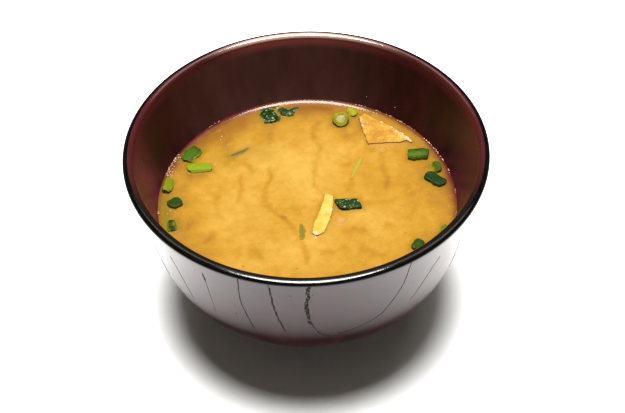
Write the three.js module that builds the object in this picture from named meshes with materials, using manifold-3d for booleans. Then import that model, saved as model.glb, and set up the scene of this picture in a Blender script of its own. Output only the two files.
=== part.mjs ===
// A lacquered soup bowl filled with miso soup, with two pieces of fried tofu and cut
// scallion greens afloat in it. Millimetres, +Z up, the origin at the bottom centre of the
// bowl's foot ring. +X is to the eater's right and -Y is towards the eater.

import * as THREE from 'three';
import { mergeVertices } from 'three/addons/utils/BufferGeometryUtils.js';
import Module from 'manifold-3d';

const wasm = await Module();
wasm.setup();

// ---------------------------------------------------------------- driving dimensions

const RIM_DIAMETER = 115;
const BOWL_HEIGHT = 63.2;
const LIP_WIDTH = 3.3; // the wall's thickness at the top, where it is rounded over
const LIP_RISE = 1.1; // of the rounding, above the lip's middle
const LIP_TURN = 100; // how far the rounding turns down on either side, in degrees
const LIP_STEPS = 10;

const FOOT_RADIUS = 28.5; // the foot ring, outside, where it joins the body
const FOOT_HEIGHT = 10.6;
const FOOT_FLARE = 0.6; // the ring is this much wider where it stands
const FOOT_WIDTH = 2.8; // the flat face it stands on
const FOOT_EDGE = 0.5; // the small chamfers beside that face
const RECESS_DEPTH = 7.5;
const RECESS_FILLET = 3;

const BODY_THICKNESS = 3.6; // from the body's underside to the floor inside
// The wall's two curves: [radius, height] of the handles that pull out its belly and draw
// in its upper part.
const OUTER_BELLY = [51.65, 12.65];
const OUTER_UPPER = [50.03, 32.22];
const OUTER_TOP = [57.46, 61.8];
const INNER_BELLY = [50, 14.5];
const INNER_UPPER = [48.84, 40.34];
const INNER_TOP = [54.16, 61.55];

const SOUP_LEVEL = 38.5;
const MENISCUS_RISE = 0.9;
const MENISCUS_WIDTH = 3;

const GAP = 0.3; // clearance between pieces that touch
const POCKET = 0.35; // the same, round what floats in the soup
const SEGMENTS = 64;
const WALL_STEPS = 11;

const RIM_RADIUS = RIM_DIAMETER / 2;
const LIP_CENTRE = new THREE.Vector2(RIM_RADIUS - LIP_WIDTH / 2, BOWL_HEIGHT - LIP_RISE);

// ---------------------------------------------------------------- finishes

const lacquer = { color: '#3a1c1a', roughness: 0.25, metalness: 0 };
const broth = { color: '#f2b449', roughness: 0.3, metalness: 0 };
const friedTofu = { color: '#f5b95a', roughness: 0.5, metalness: 0 };
const darkGreen = { color: '#1f5a2a', roughness: 0.4, metalness: 0 };
const midGreen = { color: '#4f8f22', roughness: 0.4, metalness: 0 };
const limeGreen = { color: '#a2c936', roughness: 0.4, metalness: 0 };
const paleGreen = { color: '#d9dfa0', roughness: 0.4, metalness: 0 };

// ---------------------------------------------------------------- geometry helpers

/** Turns a profile of (radius, height) points round the Z axis. */
function turned(profile) {
  const geometry = new THREE.LatheGeometry(profile, SEGMENTS);
  return geometry.rotateX(Math.PI / 2);
}

/** A closed geometry as a manifold solid. */
function toSolid(geometry) {
  const bare = geometry.clone();
  bare.deleteAttribute('normal');
  bare.deleteAttribute('uv');
  const merged = mergeVertices(bare, 1e-4);
  return new wasm.Manifold(new wasm.Mesh({
    numProp: 3,
    vertProperties: new Float32Array(merged.attributes.position.array),
    triVerts: new Uint32Array(merged.index.array),
  }));
}

/** A manifold solid as a geometry. */
function toGeometry(solid) {
  const { vertProperties, triVerts } = solid.getMesh();
  const geometry = new THREE.BufferGeometry();
  geometry.setAttribute('position', new THREE.BufferAttribute(vertProperties, 3));
  geometry.setIndex(new THREE.BufferAttribute(triVerts, 1));
  geometry.computeVertexNormals();
  return geometry;
}

function namedMesh(name, geometry, finish) {
  const mesh = new THREE.Mesh(geometry, new THREE.MeshStandardMaterial(finish));
  mesh.name = name;
  return mesh;
}

/** Moves every vertex of a geometry by a function of its place. */
function warped(geometry, move) {
  const position = geometry.attributes.position;
  const point = new THREE.Vector3();
  for (let i = 0; i < position.count; i += 1) {
    point.fromBufferAttribute(position, i);
    move(point);
    position.setXYZ(i, point.x, point.y, point.z);
  }
  return geometry;
}

// ---------------------------------------------------------------- the bowl

const bodyFoot = new THREE.Vector2(FOOT_RADIUS, FOOT_HEIGHT);
const outerWall = new THREE.CubicBezierCurve(
  bodyFoot,
  new THREE.Vector2(...OUTER_BELLY),
  new THREE.Vector2(...OUTER_UPPER),
  new THREE.Vector2(...OUTER_TOP),
);

const floorCentre = new THREE.Vector2(0, FOOT_HEIGHT + BODY_THICKNESS);
const innerWall = new THREE.CubicBezierCurve(
  floorCentre,
  new THREE.Vector2(...INNER_BELLY),
  new THREE.Vector2(...INNER_UPPER),
  new THREE.Vector2(...INNER_TOP),
);

/** The inner wall's radius at a height, by halving. */
function innerRadiusAt(height) {
  let low = 0;
  let high = 1;
  while (high - low > 1e-5) {
    const middle = (low + high) / 2;
    if (innerWall.getPoint(middle).y < height) {
      low = middle;
    } else {
      high = middle;
    }
  }
  return innerWall.getPoint(high).x;
}

/** The rounded lip's corners, from outside over the ridge to the inside. */
function lipCorners() {
  const corners = [];
  for (let i = 0; i <= LIP_STEPS; i += 1) {
    const turn = THREE.MathUtils.degToRad(LIP_TURN * (1 - (2 * i) / LIP_STEPS));
    const corner = new THREE.Vector2((LIP_WIDTH / 2) * Math.sin(turn), LIP_RISE * Math.cos(turn));
    corners.push(corner.add(LIP_CENTRE));
  }
  return corners;
}

/** The bowl's closed outline, from the middle underneath, over the lip, to the floor. */
function bowlProfile() {
  const outer = FOOT_RADIUS + FOOT_FLARE;
  const inner = outer - FOOT_WIDTH - 2 * FOOT_EDGE;
  const profile = new THREE.Path();
  profile.moveTo(0, RECESS_DEPTH);
  profile.lineTo(inner - RECESS_FILLET, RECESS_DEPTH);
  profile.quadraticCurveTo(inner, RECESS_DEPTH, inner, RECESS_DEPTH - RECESS_FILLET);
  profile.lineTo(inner, FOOT_EDGE);
  profile.lineTo(inner + FOOT_EDGE, 0);
  profile.lineTo(outer - FOOT_EDGE, 0);
  profile.lineTo(outer, FOOT_EDGE);
  profile.lineTo(bodyFoot.x, bodyFoot.y);
  const points = profile.getPoints(3);
  points.push(...outerWall.getPoints(WALL_STEPS).slice(1));
  points.push(...lipCorners());
  points.push(...innerWall.getPoints(WALL_STEPS).reverse());
  return points;
}

// ---------------------------------------------------------------- tofu

// Corners of the two pieces as they float, seen from above, from each piece's own centre.
const wedgeCorners = [
  [-9.0, 7.9], [-6.6, 9.8], [-3.0, 6.9], [2.1, 3.4], [7.6, -2.4], [9.0, -4.8],
  [7.8, -4.7], [6.5, -3.4], [5.2, -4.4], [-0.5, -4.5], [-6.3, -4.9], [-7.7, 1.4],
];
const stripCorners = [
  [1.1, 9.9], [4.0, 8.9], [3.5, 3.4], [2.2, -2.1], [0.3, -7.0],
  [-2.1, -8.4], [-3.5, -7.2], [-3.0, -3.4], [-1.5, 0.9], [-0.2, 4.8],
];

const TOFU_EDGE = 0.5; // how far its edges are softened

/** A slab of tofu, curled up towards its ends; grow makes it larger all round. */
function slab({ corners, thickness, curl }, grow) {
  const shape = new THREE.Shape(corners.map(([x, y]) => new THREE.Vector2(x, y)));
  const depth = thickness + 2 * grow - 2 * TOFU_EDGE;
  const geometry = new THREE.ExtrudeGeometry(shape, {
    depth,
    steps: 1,
    bevelEnabled: true,
    bevelThickness: TOFU_EDGE,
    bevelSize: TOFU_EDGE,
    bevelOffset: grow - TOFU_EDGE,
    bevelSegments: 2,
  });
  geometry.translate(0, 0, -depth / 2);
  return warped(geometry, (p) => {
    p.z += curl * (p.x * p.x + p.y * p.y);
  });
}

const tofuPieces = [
  {
    name: 'tofu_wedge', corners: wedgeCorners, thickness: 2.4, curl: 0.003,
    at: [27.3, 30.1, -0.4], lean: 2, finish: friedTofu,
  },
  {
    name: 'tofu_strip', corners: stripCorners, thickness: 2, curl: 0.003,
    at: [4.6, -8.0, -0.35], lean: 1, finish: friedTofu,
  },
];

// ---------------------------------------------------------------- scallion greens

const LEAF_WALL = 0.7;

function ellipse(width, height) {
  const shape = new THREE.Shape();
  return shape.absellipse(0, 0, width / 2, height / 2, 0, 2 * Math.PI);
}

/** A stalk pressed flat, so that its two walls lie on each other. */
function pressedSection({ width, height }, grow) {
  return ellipse(width + 2 * grow, height + 2 * grow);
}

/** The open ring of a hollow stalk; the room for it in the soup has no hole. */
function openSection({ width, height }, grow) {
  const shape = ellipse(width + 2 * grow, height + 2 * grow);
  if (grow === 0) {
    shape.holes.push(ellipse(width - 2 * LEAF_WALL, height - 2 * LEAF_WALL));
  }
  return shape;
}

/** A slit stalk that has opened into a shallow trough, hollow side down. */
function troughSection({ width, height }, grow) {
  const rise = height - LEAF_WALL;
  const radius = (width * width / 4 + rise * rise) / (2 * rise);
  const sweep = Math.asin(width / 2 / radius) + grow / radius;
  const [right, left] = [Math.PI / 2 - sweep, Math.PI / 2 + sweep];
  const centre = rise / 2 - radius;
  const half = LEAF_WALL / 2 + grow;
  const shape = new THREE.Shape();
  shape.absarc(0, centre, radius + half, right, left, false);
  shape.absarc(0, centre, radius - half, left, right, true);
  return shape;
}

/** Runs a section along X, with slanted ends and a slight bend. */
function cutLeaf(piece, grow) {
  const { section, length, slant = 0, bend = 0 } = piece;
  const depth = length + 2 * grow;
  const geometry = new THREE.ExtrudeGeometry(section(piece, grow), {
    depth,
    steps: 2,
    curveSegments: section === troughSection ? 4 : 6,
    bevelEnabled: false,
  });
  geometry.translate(0, 0, -depth / 2);
  geometry.applyMatrix4(new THREE.Matrix4().makeBasis(
    new THREE.Vector3(0, 1, 0), new THREE.Vector3(0, 0, 1), new THREE.Vector3(1, 0, 0),
  ));
  return warped(geometry, (p) => {
    p.z += bend * p.x * p.x;
    p.x += slant * p.y;
  });
}

// Each piece lies along its own X axis. Its centre is given with the height above the soup.
// Turn is its direction from above, lean raises its left side and pitch lowers its far end.
const greens = [
  {
    name: 'scallion_centre', section: pressedSection, finish: darkGreen,
    at: [13.2, -2.9, 0.1], turn: 4, length: 7.8, width: 4.7, height: 2.2, slant: -0.33,
  },
  {
    name: 'scallion_right_back', section: openSection, finish: midGreen,
    at: [37.7, 19.4, 0.3], turn: -2, length: 7.0, width: 4.8, height: 3.2, slant: 0.1,
  },
  {
    name: 'scallion_right', section: pressedSection, finish: darkGreen,
    at: [42.4, 7.4, 0.1], turn: -40, length: 7.4, width: 4.2, height: 2.2, slant: 0.1,
  },
  {
    name: 'scallion_right_leaf', section: troughSection, finish: midGreen,
    at: [43.3, 13.0, 0.7], turn: -72, length: 4.2, width: 2.8, height: 1.3, lean: 25,
  },
  {
    name: 'scallion_left_leaf', section: troughSection, finish: midGreen,
    at: [-38.7, 22.4, 0.3], turn: 62, length: 7.2, width: 4.8, height: 1.9, bend: -0.02,
  },
  {
    name: 'scallion_left_bright', section: troughSection, finish: limeGreen,
    at: [-35.7, 15.9, 0.3], turn: 4, length: 8.0, width: 3.2, height: 1.8, slant: -0.2,
  },
  {
    name: 'scallion_wall_bright', section: troughSection, finish: limeGreen,
    at: [-45.8, 7.5, 0.9], turn: 80, length: 5.6, width: 3.0, height: 1.4, lean: 35,
  },
  {
    name: 'scallion_left_dark', section: pressedSection, finish: darkGreen,
    at: [-43.2, -0.2, 0.1], turn: 32, length: 4.4, width: 4.1, height: 1.9, slant: -0.15,
  },
  {
    name: 'scallion_left_low', section: troughSection, finish: darkGreen,
    at: [-43.7, -10.2, 0], turn: -78, length: 4.6, width: 3.4, height: 1.5,
  },
  {
    name: 'scallion_back_dark', section: troughSection, finish: darkGreen,
    at: [-12.4, 40.8, 0.3], turn: -66, length: 7.0, width: 4.8, height: 1.8, bend: -0.03,
  },
  {
    name: 'scallion_back_small', section: troughSection, finish: darkGreen,
    at: [-6.1, 42.4, 0.3], turn: -14, length: 4.6, width: 3.2, height: 1.5,
  },
  {
    name: 'scallion_ring', section: openSection, finish: paleGreen,
    at: [12.3, 37.5, 0.6], turn: -90, pitch: -48, length: 4.2, width: 5.4, height: 4.8,
  },
  {
    name: 'scallion_back_bright', section: troughSection, finish: paleGreen,
    at: [16.5, 41.2, 0.4], turn: -66, length: 4.2, width: 2.3, height: 1.3,
  },
  {
    name: 'scallion_front_right', section: pressedSection, finish: darkGreen,
    at: [34.5, -21.5, 0.1], turn: 62, length: 4.2, width: 3.4, height: 1.9,
  },
  {
    name: 'scallion_rim_sliver', section: pressedSection, finish: darkGreen,
    at: [42.2, -16.8, 0.1], turn: 66, length: 7.4, width: 1.8, height: 1.4,
  },
];

// ---------------------------------------------------------------- everything afloat

const radians = THREE.MathUtils.degToRad;

/** Sets a piece down in the soup; room is the larger body that its place is cut by. */
function afloat(piece, build) {
  const { name, finish, at, turn = 0, lean = 0, pitch = 0 } = piece;
  const mesh = namedMesh(name, build(piece, 0), finish);
  mesh.position.set(at[0], at[1], SOUP_LEVEL + at[2]);
  mesh.rotation.set(radians(lean), radians(pitch), radians(turn), 'ZYX');
  mesh.updateMatrix();
  return { mesh, room: build(piece, POCKET).applyMatrix4(mesh.matrix) };
}

// ---------------------------------------------------------------- the soup

/** The soup's outline: it follows the wall, climbs it a little and is level inside. */
function soupProfile() {
  const top = SOUP_LEVEL + MENISCUS_RISE;
  const edge = innerRadiusAt(top) - GAP;
  const points = [];
  for (const point of innerWall.getPoints(WALL_STEPS)) {
    if (point.y < SOUP_LEVEL) {
      points.push(new THREE.Vector2(Math.max(0, point.x - GAP), point.y + GAP));
    }
  }
  const steps = 3;
  for (let i = 0; i <= steps; i += 1) {
    const inward = i / steps;
    const height = SOUP_LEVEL + MENISCUS_RISE * (1 - inward) ** 2;
    points.push(new THREE.Vector2(edge - inward * MENISCUS_WIDTH, height));
  }
  points.push(new THREE.Vector2(0, SOUP_LEVEL));
  return points;
}

/** The soup, with room left in it for everything that floats. */
function buildSoup(floating) {
  let soup = toSolid(turned(soupProfile()));
  for (const { room } of floating) {
    soup = soup.subtract(toSolid(room));
  }
  return toGeometry(soup);
}

const floating = [
  ...tofuPieces.map((piece) => afloat(piece, slab)),
  ...greens.map((piece) => afloat(piece, cutLeaf)),
];

const group = new THREE.Group();
group.add(namedMesh('bowl', turned(bowlProfile()), lacquer));
group.add(namedMesh('soup', buildSoup(floating), broth));
group.add(...floating.map(({ mesh }) => mesh));

export default group;
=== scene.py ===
"""A bowl of miso soup: lacquered bowl, cloudy broth, fried tofu and cut scallion greens.

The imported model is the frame. Sizes in the classes are millimetres; meshes are made in
metres in the same frame: origin under the foot ring, +Z up, -Y towards the eater.
"""

from __future__ import annotations

import logging
import math
from dataclasses import dataclass, field, replace
from enum import Enum
from functools import cache, cached_property
from typing import Any, Iterable, Optional, Sequence

import bpy
import numpy as np
from mathutils import Euler, Matrix, Vector, noise


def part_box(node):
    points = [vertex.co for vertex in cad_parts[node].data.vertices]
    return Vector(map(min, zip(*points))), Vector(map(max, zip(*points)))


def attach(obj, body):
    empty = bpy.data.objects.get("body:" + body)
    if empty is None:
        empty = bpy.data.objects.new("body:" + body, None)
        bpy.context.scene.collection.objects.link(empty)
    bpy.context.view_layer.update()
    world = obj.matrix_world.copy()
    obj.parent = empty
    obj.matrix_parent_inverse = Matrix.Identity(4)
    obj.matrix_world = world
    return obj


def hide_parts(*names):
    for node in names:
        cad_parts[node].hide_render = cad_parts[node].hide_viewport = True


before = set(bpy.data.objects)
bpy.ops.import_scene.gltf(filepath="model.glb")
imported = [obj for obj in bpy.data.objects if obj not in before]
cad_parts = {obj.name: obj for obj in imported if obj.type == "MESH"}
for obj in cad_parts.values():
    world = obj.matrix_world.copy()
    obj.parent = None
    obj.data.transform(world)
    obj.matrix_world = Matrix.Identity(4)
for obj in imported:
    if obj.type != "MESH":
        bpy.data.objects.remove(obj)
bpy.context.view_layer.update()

MM = 0.001
BODY = "root"
LOG = logging.getLogger("soup")

Colour = tuple[float, float, float]
Point2 = tuple[float, float]
Point3 = tuple[float, float, float]
Path2 = Sequence[Point2]
Socket = bpy.types.NodeSocket


# ---------- small helpers


def smoothstep(low: float, high: float, value: np.ndarray) -> np.ndarray:
    """Rises softly from 0 at low to 1 at high."""
    t = np.clip((value - low) / (high - low), 0.0, 1.0)
    return t * t * (3.0 - 2.0 * t)


def falloff(away: np.ndarray, width: float | np.ndarray) -> np.ndarray:
    """Falls softly from 1 at no distance towards 0 beyond the width."""
    return np.exp(-((away / width) ** 2))


def at_height(places: np.ndarray, height: float = 0.0) -> np.ndarray:
    """Places seen from above as places in space, all at one height."""
    return np.column_stack([places, np.full(len(places), height)])


def on_circle(radius: float, angle: float, height: float) -> Point3:
    """The point at a radius and a direction in radians round the Z axis."""
    return radius * math.cos(angle), radius * math.sin(angle), height


def places_of(mesh: bpy.types.Mesh) -> np.ndarray:
    """The mesh's points in millimetres, N x 3."""
    return np.array([v.co for v in mesh.vertices]) / MM


def fractal(points: np.ndarray, size: float, seed: float, octaves: int = 3) -> np.ndarray:
    """Soft fractal noise at some points.

    Args:
        points: N x 3 places in millimetres.
        size: width of the largest patches in millimetres.
        seed: shifts the pattern.
        octaves: how many finer layers are added.

    Returns:
        N values, mostly between -1 and 1.
    """
    shift = Vector((seed, 1.7 * seed, -0.6 * seed))
    return np.array(
        [noise.fractal(Vector(p) / size + shift, 1.0, 2.0, octaves) for p in points.tolist()]
    )


def distance_to_path(places: np.ndarray, path: Path2) -> np.ndarray:
    """Distance from each place to an open path, both seen from above.

    Args:
        places: N x 2 places in millimetres.
        path: the path's corners in millimetres.

    Returns:
        N distances in millimetres.
    """
    best = np.full(len(places), 1e9)
    corners = np.array(path, float)
    for start, end in zip(corners[:-1], corners[1:]):
        along = end - start
        share = ((places - start) @ along) / max(float(along @ along), 1e-12)
        nearest = start + np.clip(share, 0.0, 1.0)[:, None] * along
        best = np.minimum(best, np.linalg.norm(places - nearest, axis=1))
    return best


def convex_outline(points: np.ndarray) -> np.ndarray:
    """The convex outline of some points seen from above, counterclockwise.

    Args:
        points: N x 2 places.

    Returns:
        The corners of the outline.
    """
    ordered = sorted(map(tuple, np.round(points, 4).tolist()))

    def half(row: Iterable[Point2]) -> list[Point2]:
        """One side of the outline."""
        kept: list[Point2] = []
        for p in row:
            while len(kept) > 1:
                (ax, ay), (bx, by) = kept[-2], kept[-1]
                if (bx - ax) * (p[1] - ay) - (by - ay) * (p[0] - ax) > 0:
                    break
                kept.pop()
            kept.append(p)
        return kept[:-1]

    return np.array(half(ordered) + half(reversed(ordered)))


def distance_outside(places: np.ndarray, outline: np.ndarray) -> np.ndarray:
    """Distance outside a convex outline; 0 within it.

    Args:
        places: N x 2 places in millimetres.
        outline: counterclockwise corners.

    Returns:
        N distances in millimetres.
    """
    ring = np.vstack([outline, outline[:1]])
    within = np.ones(len(places), bool)
    for start, end in zip(ring[:-1], ring[1:]):
        along, rel = end - start, places - start
        within &= along[0] * rel[:, 1] - along[1] * rel[:, 0] >= 0
    return np.where(within, 0.0, distance_to_path(places, ring.tolist()))


def bezier(corners: Path2, steps: int) -> np.ndarray:
    """Points along a cubic curve with four control corners."""
    t = np.linspace(0.0, 1.0, steps + 1)[:, None]
    a, b, c, d = (np.array(p, float) for p in corners)
    return (1 - t) ** 3 * a + 3 * (1 - t) ** 2 * t * b + 3 * (1 - t) * t**2 * c + t**3 * d


def smooth_path(points: np.ndarray, step: float) -> np.ndarray:
    """A soft curve through some points, with an even step.

    Args:
        points: N x D corners that the curve passes.
        step: distance between the new points.

    Returns:
        The points of the curve.
    """
    ends = np.vstack([2 * points[0] - points[1], points, 2 * points[-1] - points[-2]])
    t = np.linspace(0.0, 1.0, 12, endpoint=False)[:, None]
    spans = [
        0.5 * (2 * b + (c - a) * t + (2 * a - 5 * b + 4 * c - d) * t**2)
        + 0.5 * (3 * b - a - 3 * c + d) * t**3
        for a, b, c, d in zip(ends[:-3], ends[1:-2], ends[2:-1], ends[3:])
    ]
    curve = np.vstack([*spans, points[-1:]])
    run = np.concatenate([[0.0], np.cumsum(np.linalg.norm(np.diff(curve, axis=0), axis=1))])
    at = np.linspace(0.0, run[-1], max(2, int(round(run[-1] / step)) + 1))
    return np.stack([np.interp(at, run, column) for column in curve.T], axis=1)


# ---------- meshes


def add_mask(mesh: bpy.types.Mesh, name: str, values: np.ndarray) -> None:
    """Gives the mesh's points a named value that a finish can read."""
    mask = mesh.attributes.new(name, "FLOAT", "POINT")
    mask.data.foreach_set("value", values.astype(np.float32))


def add_object(name: str, data: Any) -> bpy.types.Object:
    """Puts a new object with this mesh, light or camera into the scene."""
    made = bpy.data.objects.new(name, data)
    bpy.context.scene.collection.objects.link(made)
    return made


@dataclass
class Shell:
    """A closed surface in millimetres.

    Attributes:
        points: N x 3 places.
        faces: corners of each face, counterclockwise from outside.
        slots: the number of each face's finish.
    """

    points: np.ndarray
    faces: list[tuple[int, ...]]
    slots: list[int] = field(default_factory=list)

    def __post_init__(self) -> None:
        """Gives every face the first finish if none is named."""
        self.slots = self.slots or [0] * len(self.faces)

    @staticmethod
    def joined(shells: Sequence["Shell"]) -> "Shell":
        """Puts several shells into one, each still closed in itself."""
        faces, slots, base = [], [], 0
        for shell in shells:
            faces += [tuple(i + base for i in face) for face in shell.faces]
            slots += shell.slots
            base += len(shell.points)
        return Shell(np.vstack([shell.points for shell in shells]), faces, slots)

    def moved(self, matrix: Matrix) -> "Shell":
        """The same shell under a turn or shift, whose lengths are millimetres."""
        turn = np.array(matrix)
        return Shell(self.points @ turn[:3, :3].T + turn[:3, 3], self.faces, self.slots)

    def dressed(self, slot: int) -> "Shell":
        """The same shell with one finish all over, by its number."""
        return Shell(self.points, self.faces, [slot] * len(self.faces))

    def to_object(
        self,
        name: str,
        finishes: Sequence["Finish"],
        crease_deg: float = 50.0,
        masks: Optional[dict[str, np.ndarray]] = None,
    ) -> bpy.types.Object:
        """Makes the scene object.

        Args:
            name: the piece's name.
            finishes: one for each number in slots.
            crease_deg: edges sharper than this stay crisp.
            masks: named values, one for each point.

        Returns:
            The new object at the origin.
        """
        mesh = bpy.data.meshes.new(name)
        mesh.from_pydata((self.points * MM).tolist(), [], self.faces)
        for finish in finishes:
            mesh.materials.append(finish.material())
        mesh.polygons.foreach_set("material_index", self.slots)
        mesh.polygons.foreach_set("use_smooth", [True] * len(self.faces))
        mesh.update()
        mesh.set_sharp_from_angle(angle=math.radians(crease_deg))
        for label, values in (masks or {}).items():
            add_mask(mesh, label, values)
        return add_object(name, mesh)


def lathe(outline: np.ndarray, segments: int, slots: Optional[Sequence[int]] = None) -> Shell:
    """Turns a closed outline round the Z axis.

    Args:
        outline: radius and height of each point, from the axis at the bottom, out, up and
            back to the axis.
        segments: steps of the full turn.
        slots: the finish number of each stretch of the outline.

    Returns:
        The closed shell.
    """
    angles = np.linspace(0.0, 2 * np.pi, segments, endpoint=False)
    ring = np.stack([np.cos(angles), np.sin(angles)], axis=1)
    rows = [
        at_height(np.zeros((1, 2)) if radius < 1e-6 else ring * radius, height)
        for radius, height in outline
    ]
    starts = np.cumsum([0, *(len(row) for row in rows)]).tolist()
    faces: list[tuple[int, ...]] = []
    finish: list[int] = []
    for i, (low, high) in enumerate(zip(rows[:-1], rows[1:])):
        a, b = starts[i], starts[i + 1]
        for j in range(segments):
            k = (j + 1) % segments
            if len(low) == 1:
                face = (a, b + k, b + j)
            elif len(high) == 1:
                face = (a + j, a + k, b)
            else:
                face = (a + j, a + k, b + k, b + j)
            faces.append(face)
        finish += [slots[i] if slots else 0] * segments
    return Shell(np.vstack(rows), faces, finish)


def loft(loops: np.ndarray, ringed: bool = False) -> Shell:
    """Joins a row of closed loops into a closed shell.

    Args:
        loops: K x M x 3 places; each loop runs counterclockwise seen from the row's far end.
        ringed: whether the last loop joins the first, as on a tube with a wall. Otherwise
            both ends are closed with faces, for which M is even.

    Returns:
        The closed shell.
    """
    rows, around = loops.shape[:2]
    faces: list[tuple[int, ...]] = []
    for i in range(rows if ringed else rows - 1):
        a, b = i * around, ((i + 1) % rows) * around
        for j in range(around):
            k = (j + 1) % around
            faces.append((a + j, a + k, b + k, b + j))
    if not ringed:
        last = (rows - 1) * around
        for j in range(around // 2 - 1):
            cap = (j, around - 1 - j, around - 2 - j, j + 1)
            faces.append(cap)
            faces.append(tuple(last + i for i in reversed(cap)))
    return Shell(loops.reshape(-1, 3), faces)


def declare(piece: bpy.types.Object, slot: str, *nodes: str) -> bpy.types.Object:
    """Lets a piece ride on the bowl's body and reports it.

    Args:
        piece: the finished object.
        slot: the record's material slot; not used.
        nodes: the CAD nodes that it stands for.

    Returns:
        The same object.
    """
    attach(piece, BODY)
    if nodes:
        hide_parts(*nodes)
    LOG.info("%s: %d faces", piece.name, len(piece.data.polygons))
    return piece


# ---------- shader graphs


class Graph:
    """Places and joins the nodes of one tree."""

    def __init__(self, tree: bpy.types.NodeTree) -> None:
        """Keeps the tree."""
        self.tree = tree

    def feed(self, socket: Socket, value: Any) -> None:
        """Joins another node's output to a socket, or sets its own value."""
        if isinstance(value, bpy.types.NodeSocket):
            self.tree.links.new(value, socket)
        elif socket.type == "RGBA" and len(value) == 3:
            socket.default_value = (*value, 1.0)
        else:
            socket.default_value = value

    def add(self, kind: str, inputs: Optional[dict[Any, Any]] = None, **settings: Any) -> Any:
        """Adds a node.

        Args:
            kind: the node's type.
            inputs: values or outputs for its sockets, by name or number.
            settings: its own options.

        Returns:
            The node.
        """
        node = self.tree.nodes.new(kind)
        for key, value in settings.items():
            setattr(node, key, value)
        for key, value in (inputs or {}).items():
            self.feed(node.inputs[key], value)
        return node

    def math(self, operation: str, *values: Any, clamp: bool = False) -> Socket:
        """One sum on one, two or three numbers."""
        node = self.add("ShaderNodeMath", dict(enumerate(values)), operation=operation)
        node.use_clamp = clamp
        return node.outputs[0]

    def times(self, a: Any, b: Any) -> Socket:
        """One number times another."""
        return self.math("MULTIPLY", a, b)

    def line(self, value: Any, slope: float, start: float) -> Socket:
        """Rises from start at 0, by slope up to 1."""
        return self.math("MULTIPLY_ADD", value, slope, start)

    def swing(self, value: Any, strength: float) -> Socket:
        """How far a value is above or below one half, made stronger or weaker."""
        return self.times(self.math("SUBTRACT", value, 0.5), strength)

    def mixed(self, a: Any, b: Any, share: float = 0.5) -> Socket:
        """Part of one value and, for the rest, another."""
        return self.math("ADD", self.times(a, share), self.times(b, 1.0 - share))

    def remap(self, value: Any, low: float, high: float) -> Socket:
        """Rises softly from 0 at low to 1 at high."""
        ends = {"Value": value, "From Min": low, "From Max": high}
        return self.add("ShaderNodeMapRange", ends, interpolation_type="SMOOTHSTEP").outputs[0]

    def blend(self, share: Any, a: Any, b: Any) -> Socket:
        """Goes from colour a to colour b as share rises."""
        return self.add("ShaderNodeMix", {0: share, 6: a, 7: b}, data_type="RGBA").outputs[2]

    def ramp(self, value: Any, stops: Sequence[tuple[float, Colour]]) -> Socket:
        """Colours along a scale."""
        node = self.add("ShaderNodeValToRGB", {0: value})
        steps = node.color_ramp.elements
        while len(steps) < len(stops):
            steps.new(0.5)
        for step, (place, colour) in zip(steps, stops):
            step.position = place
            step.color = (*colour, 1.0)
        return node.outputs["Color"]

    def scaled(self, vector: Socket, scale: Any) -> Socket:
        """A vector made longer or shorter."""
        ends = {0: vector, "Scale": scale}
        return self.add("ShaderNodeVectorMath", ends, operation="SCALE").outputs[0]

    def place(self) -> Socket:
        """The point on the piece in millimetres, in the piece's own frame."""
        return self.scaled(self.add("ShaderNodeTexCoord").outputs["Object"], 1.0 / MM)

    def split(self, vector: Socket) -> Sequence[Socket]:
        """The three parts of a vector."""
        return tuple(self.add("ShaderNodeSeparateXYZ", {0: vector}).outputs)

    def joined(self, *parts: Any) -> Socket:
        """A vector of three parts."""
        return self.add("ShaderNodeCombineXYZ", dict(enumerate(parts))).outputs[0]

    def mask(self, name: str) -> Socket:
        """A named value of the mesh's points."""
        return self.add("ShaderNodeAttribute", attribute_name=name).outputs["Fac"]

    def clouds(self, vector: Socket, detail: float, roughness: float) -> Socket:
        """Plain noise, one unit wide."""
        ends = {"Vector": vector, "Scale": 1.0, "Detail": detail, "Roughness": roughness}
        return self.add("ShaderNodeTexNoise", ends).outputs["Fac"]

    def effect(self, tree: bpy.types.NodeTree, *inputs: Any) -> Socket:
        """Places a shared effect, feeds it in order and gives its only output."""
        return self.add("ShaderNodeGroup", dict(enumerate(inputs)), node_tree=tree).outputs[0]

    def patches(self, place: Socket, size: float, sharpness: float) -> Socket:
        """The shared mottling, with patches this wide and edges this hard."""
        return self.effect(Effects.mottling(), place, size, sharpness)

    def relief(self, height: Socket, depth: float) -> Socket:
        """A normal bent by heights from 0 to 1, where 1 stands for this many millimetres."""
        return self.add("ShaderNodeBump", {"Height": height, "Distance": depth * MM}).outputs[0]


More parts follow.
